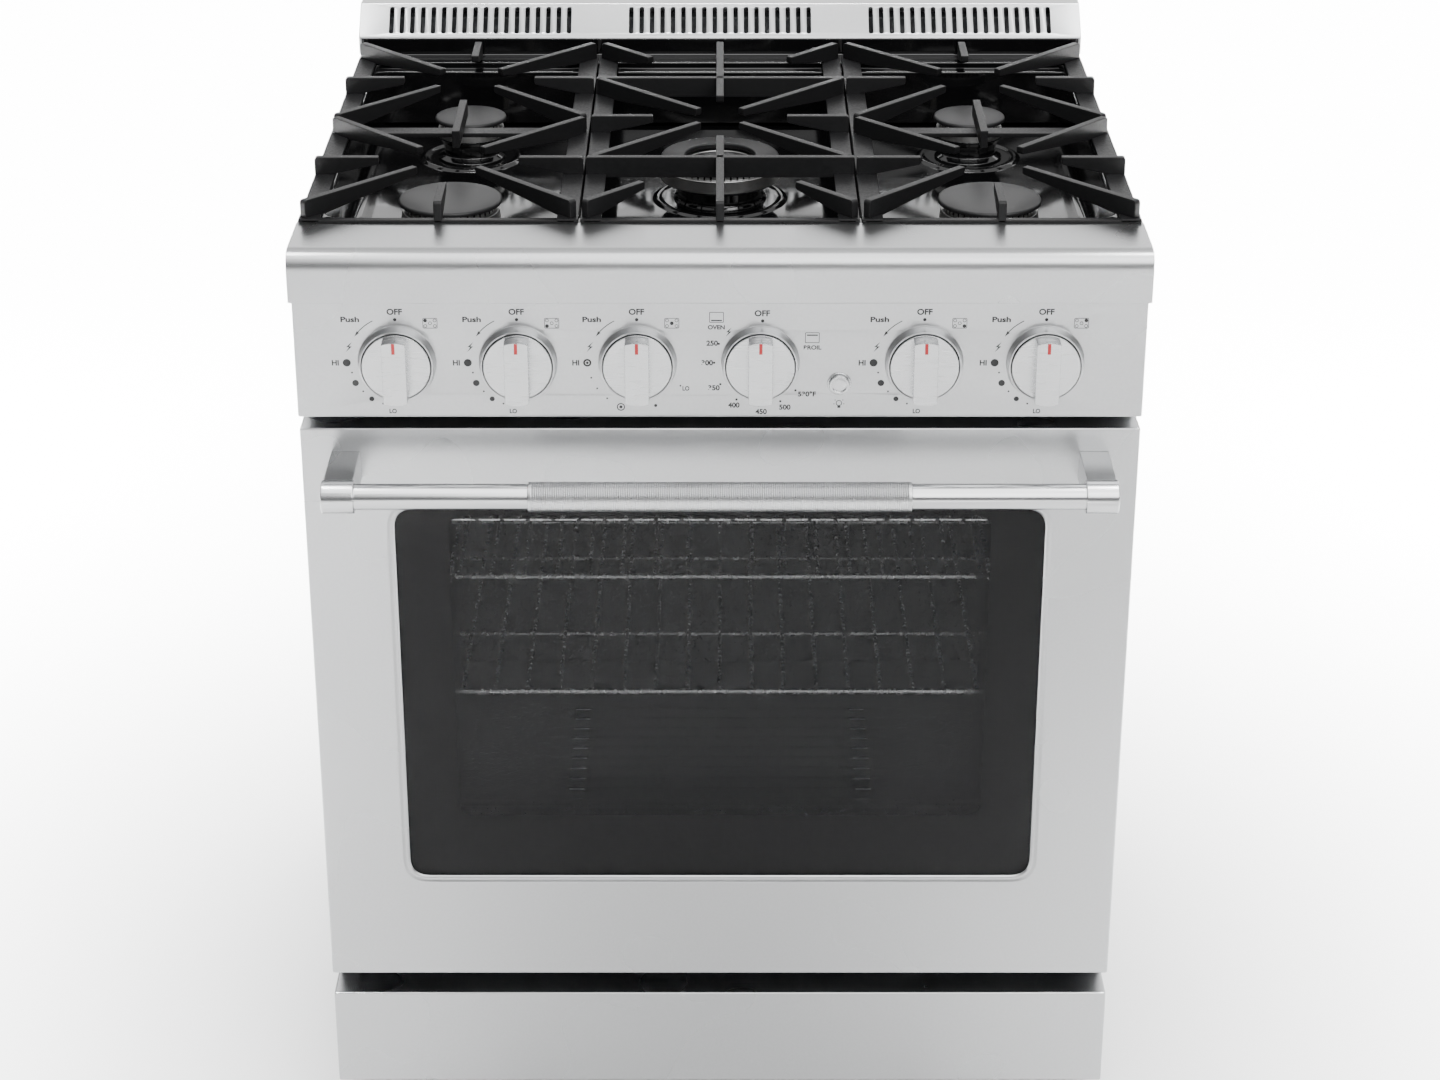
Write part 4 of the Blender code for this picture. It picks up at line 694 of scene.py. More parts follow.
def spark(x, y, height):
    """A small lightning bolt."""
    shape = [(0.42, 0.5), (-0.34, 0.0), (0.02, 0.0), (-0.42, -0.5), (0.38, 0.06), (0.02, 0.06)]
    return flat([(x + u * height * 0.72, y + v * height) for u, v in shape])


def polar(radius, degrees):
    """A point anticlockwise from the top of a dial."""
    turn = math.radians(90 + degrees)
    return radius * math.cos(turn), radius * math.sin(turn)


def push_arrow(radius):
    """A bent arrow that points anticlockwise, above and left of a knob."""
    line, barb, start, end, tip = 0.0008, 0.0014, 27, 50, 56
    turns = [start + (end - start) * step / 12 for step in range(13)]
    outer = [polar(radius + line / 2, turn) for turn in turns]
    inner = [polar(radius - line / 2, turn) for turn in reversed(turns)]
    head = [polar(radius + barb, end - 1), polar(radius, tip), polar(radius - barb, end - 1)]
    return [flat(outer + inner), flat(head)]


def burner_map(active, x, y):
    """A small plan of the cooktop with one burner filled in."""
    width, height = 0.0132, 0.0098
    shapes = [outlined(oval(width, height, 0.0014, x, y), oval(width - 0.001, height - 0.001, 0.001, x, y))]
    spots = {
        "left_rear": (-0.0042, 0.0026),
        "left_front": (-0.0042, -0.0026),
        "centre": (0, 0),
        "right_front": (0.0042, -0.0026),
        "right_rear": (0.0042, 0.0026),
    }
    for name, (u, v) in spots.items():
        if name == active:
            shapes.append(dot(x + u, y + v, 0.0034))
        else:
            shapes.append(ring_mark(x + u, y + v, 0.0032, 0.0005))
    return shapes


def burner_dial(name):
    """The print round a burner's knob, centred on the knob."""
    shapes = [
        lettering("OFF", 0.0138, 0.0058, -0.0005, 0.0484),
        dot(-0.0004, 0.0410, 0.0031),
        lettering("Push", 0.0166, 0.0052, -0.0403, 0.0412),
        *push_arrow(0.0446),
        spark(-0.0424, 0.0150, 0.0098),
        lettering("HI", 0.0063, 0.0053, -0.0552, 0.0),
        *burner_map(name, 0.0307, 0.0376),
    ]
    if name == "centre":
        shapes += [ring_mark(*polar(0.0449, 90), 0.0074, 0.0017), dot(*polar(0.0449, 90), 0.0026)]
        shapes += [ring_mark(*polar(0.0452, 160), 0.0074, 0.0010), dot(*polar(0.0452, 160), 0.0030)]
        shapes += [dot(*polar(0.0440, turn), 0.0017) for turn in (109, 124, 141, 240)]
        shapes += [dot(*polar(0.0440, 201), 0.0029), lettering("LO", 0.0062, 0.0044, 0.0430, -0.0246)]
        return shapes
    for radius, turn, diameter in ((0.0450, 90, 0.0072), (0.0427, 117, 0.0060), (0.0423, 145, 0.0047)):
        shapes.append(dot(*polar(radius, turn), diameter))
    shapes += [dot(*polar(0.0418, turn), 0.0017) for turn in (103, 131, 160)]
    shapes.append(lettering("LO", 0.0066, 0.0044, -0.0056, -0.0465))
    return shapes


def oven_dial():
    """The print round the oven's knob: temperatures, oven and broil signs."""
    shapes = [
        lettering("OFF", 0.0138, 0.0058, 0.0015, 0.0470),
        dot(0.0018, 0.0398, 0.0031),
        spark(-0.0283, 0.0292, 0.0088),
        lettering("OVEN", 0.0152, 0.0042, -0.0393, 0.0338),
        lettering("BROIL", 0.0159, 0.0042, 0.0464, 0.0146),
    ]
    for x, y, bar in ((-0.0391, 0.0432, -0.0030), (0.0461, 0.0239, 0.0024)):
        shapes.append(outlined(oval(0.0129, 0.0100, 0.0008, x, y), oval(0.0117, 0.0088, 0.0004, x, y)))
        shapes.append(flat(oval(0.0098, 0.0012, 0.0002, x, y + bar)))
    readings = (
        ("250", 0.0103, -0.0430, 0.0187, 64),
        ("300", 0.0103, -0.0474, 0.0, 90),
        ("350", 0.0103, -0.0414, -0.0240, 120),
        ("400", 0.0103, -0.0236, -0.0407, 149),
        ("450", 0.0103, 0.0009, -0.0470, 178),
        ("500", 0.0103, 0.0222, -0.0427, 206),
        ("530°F", 0.0162, 0.0419, -0.0299, 230),
    )
    for text, width, x, y, turn in readings:
        shapes += [lettering(text, width, 0.0051, x, y), dot(*polar(0.0412, turn), 0.0021)]
    return shapes


def bulb_sign(x, y):
    """A small light bulb with rays, under the button."""
    shapes = [ring_mark(x, y, 0.0056, 0.0007), flat(oval(0.0028, 0.0022, 0.0004, x, y - 0.0036))]
    for turn in (-100, -50, 50, 100):
        u, v = polar(0.0045, turn)
        shapes.append(flat(oval(0.0009, 0.0009, 0.0002, x + u, y + v)))
    return shapes


def make_dial_print(panel_face):
    """All the print on the control panel, as shapes a tenth of a millimetre thick."""
    shapes = []
    for name in TOP_KNOBS:
        knob = middle(f"knob_{name}")
        shapes.append(placed(gathered(burner_dial(name)), (knob.x, knob.z, 0)))
    knob = middle("knob_oven")
    shapes.append(placed(gathered(oven_dial()), (knob.x, knob.z, 0)))
    button = middle("light_button")
    shapes += bulb_sign(button.x, button.z - 0.0187)
    bm = gathered(shapes)
    bm.normal_update()
    bmesh.ops.reverse_faces(bm, faces=[f for f in bm.faces if f.normal.z < 0])
    swept = bmesh.ops.extrude_face_region(bm, geom=bm.faces[:])["geom"]
    moved = [v for v in swept if isinstance(v, bmesh.types.BMVert)]
    bmesh.ops.translate(bm, verts=moved, vec=(0, 0, INK_THICKNESS))
    bm.normal_update()
    low_faces = [f for f in bm.faces if f.calc_center_median().z < INK_THICKNESS / 2]
    bmesh.ops.reverse_faces(bm, faces=[f for f in low_faces if f.normal.z > 0.5])
    piece(placed(bm, FRONT, (0, panel_face - INK_THICKNESS / 4, 0)), "dial_print", "printed_ink", "body")


def make_knobs(sizes, face):
    """A disc with a bar across it for each knob, with a red line at the top of the bar."""
    for name in (*TOP_KNOBS, "oven"):
        node = f"knob_{name}"
        low, high = corners(node)
        at = middle(node)
        radius, out, back = half_width(node), face - low.y, face - high.y
        profile = [(0, sizes.knob_disc), (radius, sizes.knob_disc, 0.0008), (radius, back, 0.0005), (0, back)]
        disc = turned(rounded(profile), 96)
        end, half = radius - 0.0004, sizes.knob_grip / 2
        swing = math.acos(half / end)
        arc = [swing + (math.pi - 2 * swing) * step / 16 for step in range(17)]
        outline = [(end * math.cos(t), end * math.sin(t)) for t in arc]
        outline += [(-u, -v) for u, v in outline]
        bar = prism(outline, sizes.knob_disc - 0.003, out)
        soften(bar, sharp(bar), 0.0007)
        side = sizes.mark_width / 2
        top = end * math.sin(math.acos(side / end)) - 0.0007
        mark = block((-side, top - sizes.mark_length, out - 0.0003), (side, top, out + 0.00015), 0.0001)
        knob = placed(gathered([disc, bar, tinted(mark, 1)]), FRONT, (at.x, face, at.z))
        piece(knob, f"dial_{name}", ("satin_nickel", "red_paint"), node, [node])


def make_light_button(face):
    """A round button with a shallow dish in its face and a collar behind the panel."""
    low, high = corners("light_button")
    at = middle("light_button")
    radius, out, back = (high.z - low.z) / 2 - 0.003, face - low.y, face - high.y
    dish, collar, rim = out - 0.0006, back + 0.003, radius + 0.003
    profile = [(0, dish), (radius - 0.003, dish, 0.001), (radius - 0.0022, out, 0.0004)]
    profile += [(radius, out, 0.0008), (radius, collar), (rim, collar), (rim, back), (0, back)]
    button = placed(turned(rounded(profile), 48), FRONT, (at.x, face, at.z))
    piece(button, "push_button", "satin_nickel", "light_button", ["light_button"])


def make_front_rail(sizes):
    """The rail with a broad curve along its upper front edge."""
    low, high = corners("front_rail")
    outline = [(low.y, low.z, 0.001), (low.y, high.z, sizes.rail_curve)]
    outline += [(high.y, high.z, 0.0012), (high.y, low.z)]
    rail = prism(rounded(outline, closed=True, steps=14), low.x, high.x)
    ends = [e for e in sharp(rail, 60) if len({round(v.co.z, 5) for v in e.verts}) == 1]
    placed(soften(rail, ends, 0.0012), SIDEWAYS)
    piece(rail, "bullnose_rail", "satin_stainless", "body", ["front_rail"])


def make_kick_plate(sizes):
    low, high = corners("kick_plate")
    sheet = folded((low.x, low.z), (high.x, high.z), high.y - low.y, sizes.edge)
    placed(sheet, FRONT, (0, low.y, 0))
    piece(sheet, "toe_kick", "satin_stainless", "body", ["kick_plate"], smooth=FLAT, wall=SHEET)


def make_legs():
    """Levelling feet, each with a hexagonal neck and a plain stud."""
    shapes = []
    names = [f"leg_{end}_{side}" for end in ("front", "rear") for side in ("left", "right")]
    for name in names:
        radius, top = half_width(name), corners(name)[1].z
        profile = [(0, 0), (radius, 0, 0.002), (radius, 0.010, 0.003), (radius * 0.62, 0.013, 0.002)]
        foot = turned(rounded([*profile, (radius * 0.55, 0.018), (0, 0.018)]), 40)
        hexagon = tinted(prism(circle(radius * 0.58, sides=6), 0.017, 0.0325), 1)
        soften(hexagon, sharp(hexagon), 0.0008)
        stud = tinted(rod((0, 0, 0.03), (0, 0, top), 0.0048, 20), 1)
        shapes.append(placed(gathered([foot, hexagon, stud]), in_plan(name)))
    finishes = ("moulded_nylon", "zinc_plated_steel")
    piece(gathered(shapes), "levelling_feet", finishes, "body", names)


def screw(x, y):
    """A low domed screw head with a cross recess, seated at height 0."""
    radius = 0.0042
    dome = [(0, 0.0018), (radius * 0.7, 0.0017, 0.001), (radius, 0.0002), (radius, -0.001), (0, -0.001)]
    head = turned(rounded(dome, steps=2), 16)
    arms = ((0.0022, 0.0004), (0.0004, 0.0022))
    # The cross recess goes in the second slot, where the back's screws take painted shade.
    cross = [tinted(block((-u, -v, 0.0012), (u, v, 0.00195), 0), 1) for u, v in arms]
    return placed(gathered([head, *cross]), (x, y, 0))


def make_rear_panel():
    """The galvanised back: stiffening ribs pressed in, rows of vent slots and a hole for the gas inlet."""
    low, high = corners("rear_panel")
    face = high.y - SCREW_HEIGHT
    rib_middle = (low.z + high.z) / 2
    holes = [[(circle(0.012, *GAS_INLET, 32), 0.0)]]
    for x in (-0.235, 0.0, 0.235):
        rib = []
        for inset, depth in rounded([(0, 0), (0.006, -0.004, 0.003), (0.014, -0.004)]):
            rib.append((oval(0.05 - 2 * inset, 0.50 - 2 * inset, 0.024 - inset, x, rib_middle), depth))
        holes.append(rib)
    for row in range(4):
        for column in range(12):
            spot = ((column - 5.5) * 0.024, 0.845 + row * 0.013)
            holes.append([(oval(0.018, 0.004, 0.0019, *spot, steps=2), 0.0)])
    bm = folded((low.x, low.z), (high.x, high.z), SHEET, 0.0006, holes)
    floors = [e for e in bm.edges if e.is_boundary and all(v.co.z < -0.0035 for v in e.verts)]
    filled(bm, floors)
    facing(bm, (0, 0, 1))
    placed(bm, BACK, (0, face, 0))
    piece(bm, "back_sheet", "galvanised_sheet", "body", ["rear_panel"], smooth=FLAT, wall=0.001)
    spots = [(x, z) for x in (low.x + 0.012, high.x - 0.012) for z in (0.08, 0.26, 0.44, 0.62, 0.80)]
    spots += [(x, low.z + 0.012) for x in (-0.2, 0.0, 0.2)]
    spots += [(x, high.z - 0.012) for x in (-0.25, 0.0, 0.25)]
    screws = placed(gathered([screw(x, z) for x, z in spots]), BACK, (0, face, 0))
    # The second finish paints shade into each cross recess.
    piece(screws, "back_screws", ("zinc_plated_steel", "painted_recess_shade"), "body")


def make_gas_inlet():
    """The nut and pipe end where the gas manifold's tail comes through the back."""
    face = min(corners("rear_panel")[1].y - SCREW_HEIGHT, corners("gas_manifold")[1].y)
    nut = prism(circle(0.0115, sides=6), -0.008, 0.0012)
    soften(nut, sharp(nut), 0.0007)
    bore, rim = 0.0082, 0.0098
    profile = [(bore, 0.0018), (rim, 0.0018, 0.0004), (rim, -0.006), (bore, -0.006), (bore, 0.0018)]
    pipe_end = turned(rounded(profile), 40)
    inlet = placed(gathered([nut, pipe_end]), (*GAS_INLET, 0), BACK, (0, face, 0))
    piece(inlet, "gas_inlet_nut", "zinc_plated_steel", "body")


# ---------------------------------------------------------------- cooktop
# The second finish is painted shade inside the port slots; the third is the enamel below the skirt.
HEAD_FINISHES = ("cast_aluminium", "painted_recess_shade", "gloss_black_enamel")
CAP_RIM = 0.0050  # from a cap's top to the underside of its rim
PORT_PITCH = 0.0078


def make_pan(sizes):
    """The deep enamelled pan with rounded corners and a stepped ledge at the rear."""
    low, high = corners("cooktop_pan")
    floor = low.z + SHEET
    rim = corners("front_rail")[1].z - 0.0003
    side, front, rear = 0.0215, 0.0150, 0.0215
    back = high.y - 0.0008
    width, depth = high.x - low.x, back - low.y
    x, y = 0.0, (back + low.y) / 2
    bm = bmesh.new()
    rings = [(oval(width, depth, 0.001, x, y, 6), rim)]
    inner = (width - 2 * side, depth - front - rear)
    shift = (front - rear) / 2
    wall = [(-0.004, rim), (0.0, rim, 0.003), (0.002, floor, 0.010), (0.016, floor)]
    for inset, height in rounded(wall, steps=5):
        corner = sizes.pan_corner - inset
        rings.append((oval(inner[0] - 2 * inset, inner[1] - 2 * inset, corner, x, y + shift, 6), height))
    _, last = lofted(bm, rings)
    filled(bm, last)
    facing(bm, (0, 0, 1))
    piece(bm, "pan_bowl", "gloss_black_enamel", "body", ["cooktop_pan"], wall=SHEET)
    ledge = [
        (back, rim - 0.012),
        (back, high.z, 0.001),
        (back - 0.0022, high.z, 0.001),
        (back - 0.0030, rim + 0.0022, 0.002),
        (back - 0.030, rim + 0.0022, 0.0012),
        (back - 0.0308, rim - 0.0045, 0.001),
        (back - 0.040, rim - 0.0050, 0.002),
        (back - 0.0412, floor + 0.004),
        (back - 0.012, floor + 0.004),
    ]
    bm = prism(rounded(ledge, closed=True), low.x + 0.002, high.x - 0.002)
    piece(placed(bm, SIDEWAYS), "pan_rear_ledge", "gloss_black_enamel", "body")
    make_dishes(floor)


def make_dishes(floor):
    """A shallow ring pressed in the pan's floor round each burner."""
    dishes = []
    for name in (*SIDE_BURNERS, "centre"):
        head = f"burner_head_{name}"
        radius = half_width(head) + (0.002 if name == "centre" else 0.010)
        profile = rounded(
            [
                (radius + 0.006, floor - 0.0004),
                (radius + 0.0045, floor + 0.0002, 0.001),
                (radius, floor + 0.0030, 0.0022),
                (radius - 0.005, floor + 0.0006, 0.002),
                (0.012, floor + 0.0004),
                (0.012, floor - 0.0006),
                (radius + 0.006, floor - 0.0006),
                (radius + 0.006, floor - 0.0004),
            ]
        )
        dishes.append(placed(turned(profile, 96), in_plan(head)))
    piece(gathered(dishes), "burner_dishes", "gloss_black_enamel", "body")


def ported(profile, count, band, depth, skirt):
    """A turned head with port slots cut in a band between two heights, painted shade in the slots, enamelled
    below its skirt.
    """
    steps = 4  # faces from one port to the next
    bm = turned(profile, count * steps)
    bm.normal_update()
    slots = []
    for face in bm.faces:
        centre = face.calc_center_median()
        upright = abs(face.normal.z) < 0.5 and face.normal.xy.dot(centre.xy) > 0
        if upright and band[0] < centre.z < band[1]:
            column = int((math.atan2(centre.y, centre.x) % math.tau) / math.tau * count * steps)
            if column % steps == 0:
                slots.append(face)
    cut = bmesh.ops.extrude_discrete_faces(bm, faces=slots)["faces"]
    for face in cut:
        centre = face.calc_center_median()
        inward = Vector((-centre.x, -centre.y, 0)).normalized() * depth
        bmesh.ops.translate(bm, verts=face.verts, vec=inward)
        # The slot faces and the faces beside them take the second finish: painted shade inside the ports.
        face.material_index = 1
        for edge in face.edges:
            for beside in edge.link_faces:
                beside.material_index = 1
    for face in bm.faces:
        if face.calc_center_median().z < skirt:
            face.material_index = 2
    return bm


def make_side_heads():
    """A turned aluminium head for each outer burner, with a row of ports under its cap."""
    floor = corners("cooktop_pan")[0].z + SHEET + 0.0004
    for name in SIDE_BURNERS:
        head, cap = f"burner_head_{name}", f"burner_cap_{name}"
        radius, under = half_width(cap), corners(cap)[1].z - CAP_RIM
        skirt = radius - 0.0030
        band = (under - 0.0062, under - 0.0006)
        profile = rounded(
            [
                (0, under - 0.008),
                (skirt - 0.012, under - 0.008),
                (skirt - 0.008, under),
                (skirt - 0.0036, under),
                (skirt - 0.0036, band[1]),
                (skirt - 0.0036, band[0]),
                (skirt, band[0] - 0.0006, 0.0006),
                (skirt + 0.0012, under - 0.016, 0.001),
                (skirt - 0.004, under - 0.022, 0.002),
                (skirt - 0.006, floor + 0.006, 0.002),
                (skirt + 0.001, floor + 0.002, 0.001),
                (skirt + 0.001, floor),
                (0, floor),
            ]
        )
        bm = ported(profile, round(math.tau * radius / PORT_PITCH), band, 0.0025, under - 0.013)
        placed(bm, in_plan(head))
        piece(bm, f"head_{name}", HEAD_FINISHES, "body", [head])


def make_centre_head():
    """The middle burner's two rings of ports, one inside the other."""
    floor = corners("cooktop_pan")[0].z + SHEET + 0.0004
    ring_cap, inner_cap = "burner_cap_centre_ring", "burner_cap_centre_inner"
    radius, small = half_width(ring_cap), half_width(inner_cap)
    under, small_under = corners(ring_cap)[1].z - CAP_RIM, corners(inner_cap)[1].z - 0.0053
    band = (under - 0.0045, under - 0.0006)
    small_band = (small_under - 0.0045, small_under - 0.0006)
    outer = rounded(
        [
            (0.0325, under - 0.020),
            (0.0325, under - 0.002, 0.001),
            (radius - 0.010, under - 0.002, 0.001),
            (radius - 0.008, under),
            (radius - 0.0022, under),
            (radius - 0.0022, band[1]),
            (radius - 0.0022, band[0]),
            (radius + 0.0012, band[0] - 0.0006, 0.0006),
            (radius + 0.0015, under - 0.0175, 0.0022),
            (radius - 0.008, under - 0.0225, 0.002),
            (radius - 0.0145, under - 0.0235, 0.001),
            (radius - 0.0145, floor + 0.005, 0.002),
            (radius - 0.012, floor + 0.001, 0.001),
            (radius - 0.012, floor),
            (0.012, floor),
            (0.012, under - 0.020),
            (0.0325, under - 0.020),
        ]
    )
    inner = rounded(
        [
            (0, small_under - 0.007),
            (small - 0.010, small_under - 0.007),
            (small - 0.007, small_under),
            (small - 0.002, small_under),
            (small - 0.002, small_band[1]),
            (small - 0.002, small_band[0]),
            (small, small_band[0] - 0.0006, 0.0004),
            (small, under - 0.021),
            (0, under - 0.021),
        ]
    )
    rings = [ported(outer, 54, band, 0.0025, under - 0.0185)]
    rings.append(ported(inner, 18, small_band, 0.002, small_under - 0.015))
    bm = placed(gathered(rings), in_plan("burner_head_centre"))
    piece(bm, "head_centre", HEAD_FINISHES, "body", ["burner_head_centre"])


def make_electrodes():
    """A ceramic spark electrode with a steel tip, at the rear of each burner."""
    floor = corners("cooktop_pan")[0].z + SHEET
    shapes = []
    for name in (*SIDE_BURNERS, "centre_ring"):
        cap = f"burner_cap_{name}"
        centre, reach = middle(cap), half_width(cap) + 0.0055
        turn = math.radians(55 if centre.x <= 0.001 else 125)
        x, y = centre.x + reach * math.cos(turn), centre.y + reach * math.sin(turn)
        top = corners(cap)[0].z - 0.010
        body = turned(rounded([(0, top), (0.0024, top, 0.0008), (0.0030, floor), (0, floor)]), 20)
        tip = tinted(rod((0, 0, top - 0.001), (0, 0, top + 0.0065), 0.0009, 8), 1)
        shapes.append(placed(gathered([body, tip]), (x, y, 0)))
    piece(gathered(shapes), "spark_electrodes", ("glazed_ceramic", "zinc_plated_steel"), "body")


def make_caps():
    """Loose enamelled caps with a soft crown and a rounded rim."""
    for name in (*SIDE_BURNERS, "centre_inner"):
        node = f"burner_cap_{name}"
        low, high = corners(node)
        radius, top = half_width(node), high.z
        profile = [
            (0, top),
            (radius * 0.75, top - 0.0002),
            (radius, top - 0.0012, 0.0022),
            (radius, top - CAP_RIM, 0.0006),
            (radius - 0.010, top - CAP_RIM),
            (radius - 0.012, low.z),
            (0, low.z),
        ]
        cap = placed(turned(rounded(profile), 96), in_plan(node))
        piece(cap, f"cap_{name}_disc", "matt_cap_enamel", f"cap_{name}", [node])
    node = "burner_cap_centre_ring"
    low, high = corners(node)
    radius, top, hole = half_width(node), high.z, 0.034
    profile = [(hole, low.z), (hole, top, 0.002), (radius, top - 0.0006, 0.0022), (radius, low.z, 0.0006)]
    ring = placed(turned(rounded([*profile, (hole, low.z)]), 96), in_plan(node))
    piece(ring, "cap_centre_ring_disc", "matt_cap_enamel", "cap_centre_ring", [node])


def grate_bar(sizes, root, tip, root_depth, tip_depth=0.007, root_round=None):
    """A bar in the grate's own plan: flat top, bottom rising to the tip, rounded corners and edges."""
    root, tip = Vector(root), Vector(tip)
    span = (tip - root).length
    corner = sizes.finger_corner if root_round is None else root_round
    side = [(0, -root_depth), (0, 0, corner), (span, 0, 0.0010), (span, -tip_depth, 0.0022)]
    bm = prism(rounded(side, closed=True), -sizes.finger_width / 2, sizes.finger_width / 2)
    bm.transform(Matrix(((1, 0, 0, 0), (0, 0, -1, 0), (0, 1, 0, 0), (0, 0, 0, 1))))
    flanks = [e for e in sharp(bm, 60) if len({round(v.co.y, 5) for v in e.verts}) == 1]
    soften(bm, flanks, 0.0009)
    turn = Matrix.Rotation(math.atan2(tip.y - root.y, tip.x - root.x), 4, "Z")
    return placed(bm, turn, (root.x, root.y, 0))


def quarters(root, tip):
    """A bar's two ends, mirrored into each quarter of a grate."""
    for sx in (-1, 1):
        for sy in (-1, 1):
            yield (sx * root[0], sy * root[1]), (sx * tip[0], sy * tip[1])


def grate_strips(sizes, half, deep, foot):
    """The flat strips along a grate's sides and ends."""
    top, inner = 0.0034 - foot, half - 0.003
    strips = []
    for s in (-1, 1):
        edges = sorted((s * half, s * (half - sizes.strip_width)))
        strips.append(block((edges[0], -deep, -foot), (edges[1], deep, top), 0.0008))
        edges = sorted((s * deep, s * (deep - sizes.finger_width)))
        strips.append(block((-inner, edges[0], -foot), (inner, edges[1], top - 0.001), 0.0006))
    return strips


def make_grates(sizes):
    """Two side grates round two burners each, and a middle grate round the double burner."""
    low, high = corners("grate_centre")
    half, deep, foot = (high.x - low.x) / 2, (high.y - low.y) / 2, high.z - low.z
    edge, end = half - sizes.finger_width / 2, deep - sizes.finger_width / 2
    burner_y = 0.131
    side_bars = list(quarters((edge - 0.0002, end - 0.001), (0.029, burner_y + 0.029)))
    side_bars += list(quarters((edge - 0.001, 0.0035), (0.029, burner_y - 0.029)))
    for s in (-1, 1):
        side_bars += [((s * half, y), (s * 0.0655, y)) for y in (-burner_y, burner_y)]
        side_bars.append(((0, s * deep), (0, s * 0.2075)))
    for name in ("left", "right"):
        shapes = grate_strips(sizes, half, deep, foot)
        shapes += [grate_bar(sizes, root, tip, foot) for root, tip in side_bars]
        shapes.append(grate_bar(sizes, (0, -0.052), (0, 0.052), foot - 0.003, foot - 0.003, 0.001))
        shapes.append(block((0.002 - half, -0.0095, -foot), (half - 0.002, 0.0095, 0.0042 - foot), 0.0008))
        at = middle(f"grate_{name}")
        bm = placed(gathered(shapes), (at.x, at.y, high.z))
        piece(bm, f"iron_{name}", "enamelled_cast_iron", f"grate_{name}", [f"grate_{name}"])
    cross = 0.1305
    bars = list(quarters((edge - 0.0002, end - 0.001), (0.071, 0.204)))
    bars += list(quarters((edge - 0.0005, cross - 0.002), (0.0205, 0.022)))
    bars += [((0, s * deep), (0, s * 0.065)) for s in (-1, 1)]
    bars += [((s * half, 0), (s * 0.065, 0)) for s in (-1, 1)]
    shapes = grate_strips(sizes, half, deep, foot)
    shapes += [grate_bar(sizes, root, tip, foot) for root, tip in bars]
    shapes += [grate_bar(sizes, (-half, s * cross), (half, s * cross), foot, foot) for s in (-1, 1)]
    at = middle("grate_centre")
    bm = placed(gathered(shapes), (at.x, at.y, high.z))
    piece(bm, "iron_centre", "enamelled_cast_iron", "grate_centre", ["grate_centre"])


def make_vent_trim(sizes):
    """The folded trim at the rear: a slope with three groups of round-ended slots, and a dark duct behind
    them, which partly stands for the shade seen through the slots.
    """
    low, high = corners("backguard")
    foot, step = low.z, corners("front_rail")[1].z + 0.0200
    slope_top = low.y + 0.033
    outline = [
        (low.y, foot),
        (low.y, step, 0.0012),
        (slope_top, high.z, 0.0012),
        (high.y, high.z, 0.0012),
        (high.y, foot),
    ]
    bm = placed(prism(rounded(outline, closed=True, steps=3), low.x, high.x), SIDEWAYS)
    bm.normal_update()
    bmesh.ops.delete(bm, geom=[f for f in bm.faces if f.normal.z < -0.9], context="FACES_ONLY")
    ends = [e for e in sharp(bm, 60) if abs(e.verts[0].co.x - e.verts[1].co.x) < 0.0001]
    soften(bm, ends, 0.0010)
    bm.normal_update()
    angle = math.atan2(high.z - step, slope_top - low.y)
    normal = Vector((0, -math.sin(angle), math.cos(angle)))
    slope = max((f for f in bm.faces if f.normal.dot(normal) > 0.99), key=lambda f: f.calc_area())
    border = list(slope.edges)
    centre = slope.calc_center_median()
    bmesh.ops.delete(bm, geom=[slope], context="FACES_ONLY")
    along = Vector((0, math.cos(angle), math.sin(angle)))
    shape = oval(sizes.slot_width, sizes.slot_length, sizes.slot_width / 2 * 0.98, steps=3)
    for node in ("grate_left", "grate_centre", "grate_right"):
        group = middle(node).x
        for index in range(sizes.slot_count):
            x = group + (index - (sizes.slot_count - 1) / 2) * sizes.slot_pitch
            verts = [bm.verts.new(centre + Vector((x + u, 0, 0)) + along * v) for u, v in shape]
            border += [bm.edges.new(pair) for pair in zip(verts, verts[1:] + verts[:1])]
    filled(bm, border)
    facing(bm, (0, -0.3, 1))
    nodes = ["backguard"]
    piece(bm, "vent_trim", "satin_stainless", "body", nodes, smooth=FLAT, wall=THIN_SHEET)
    # A dark painted block behind the slots: partly the duct, partly painted shade for the dark inside the
    # trim.
    duct_shade_high = (high.x - 0.01, high.y - 0.004, high.z - 0.014)
    duct_shade = block((low.x + 0.01, low.y + 0.028, foot + 0.003), duct_shade_high, 0.002)
    piece(duct_shade, "vent_duct_shade", "painted_steel", "body")


# ---------------------------------------------------------------- door and oven
def notched(bm, low, spots):
    """Cuts the lower fold of a local sheet away between each pair of positions along it."""
    for spot in spots:
        for edge in spot:
            faces = [f for f in bm.faces if f.normal.y < -0.99 and f.calc_center_median().y < low + SHEET]
            geom = faces + [e for f in faces for e in f.edges] + [v for f in faces for v in f.verts]
            bmesh.ops.bisect_plane(bm, geom=list(set(geom)), plane_co=(edge, 0, 0), plane_no=(1, 0, 0))
            bm.normal_update()
        cut = [f for f in bm.faces if f.normal.y < -0.99 and spot[0] < f.calc_center_median().x < spot[1]]
        bmesh.ops.delete(bm, geom=cut, context="FACES")
    return bm


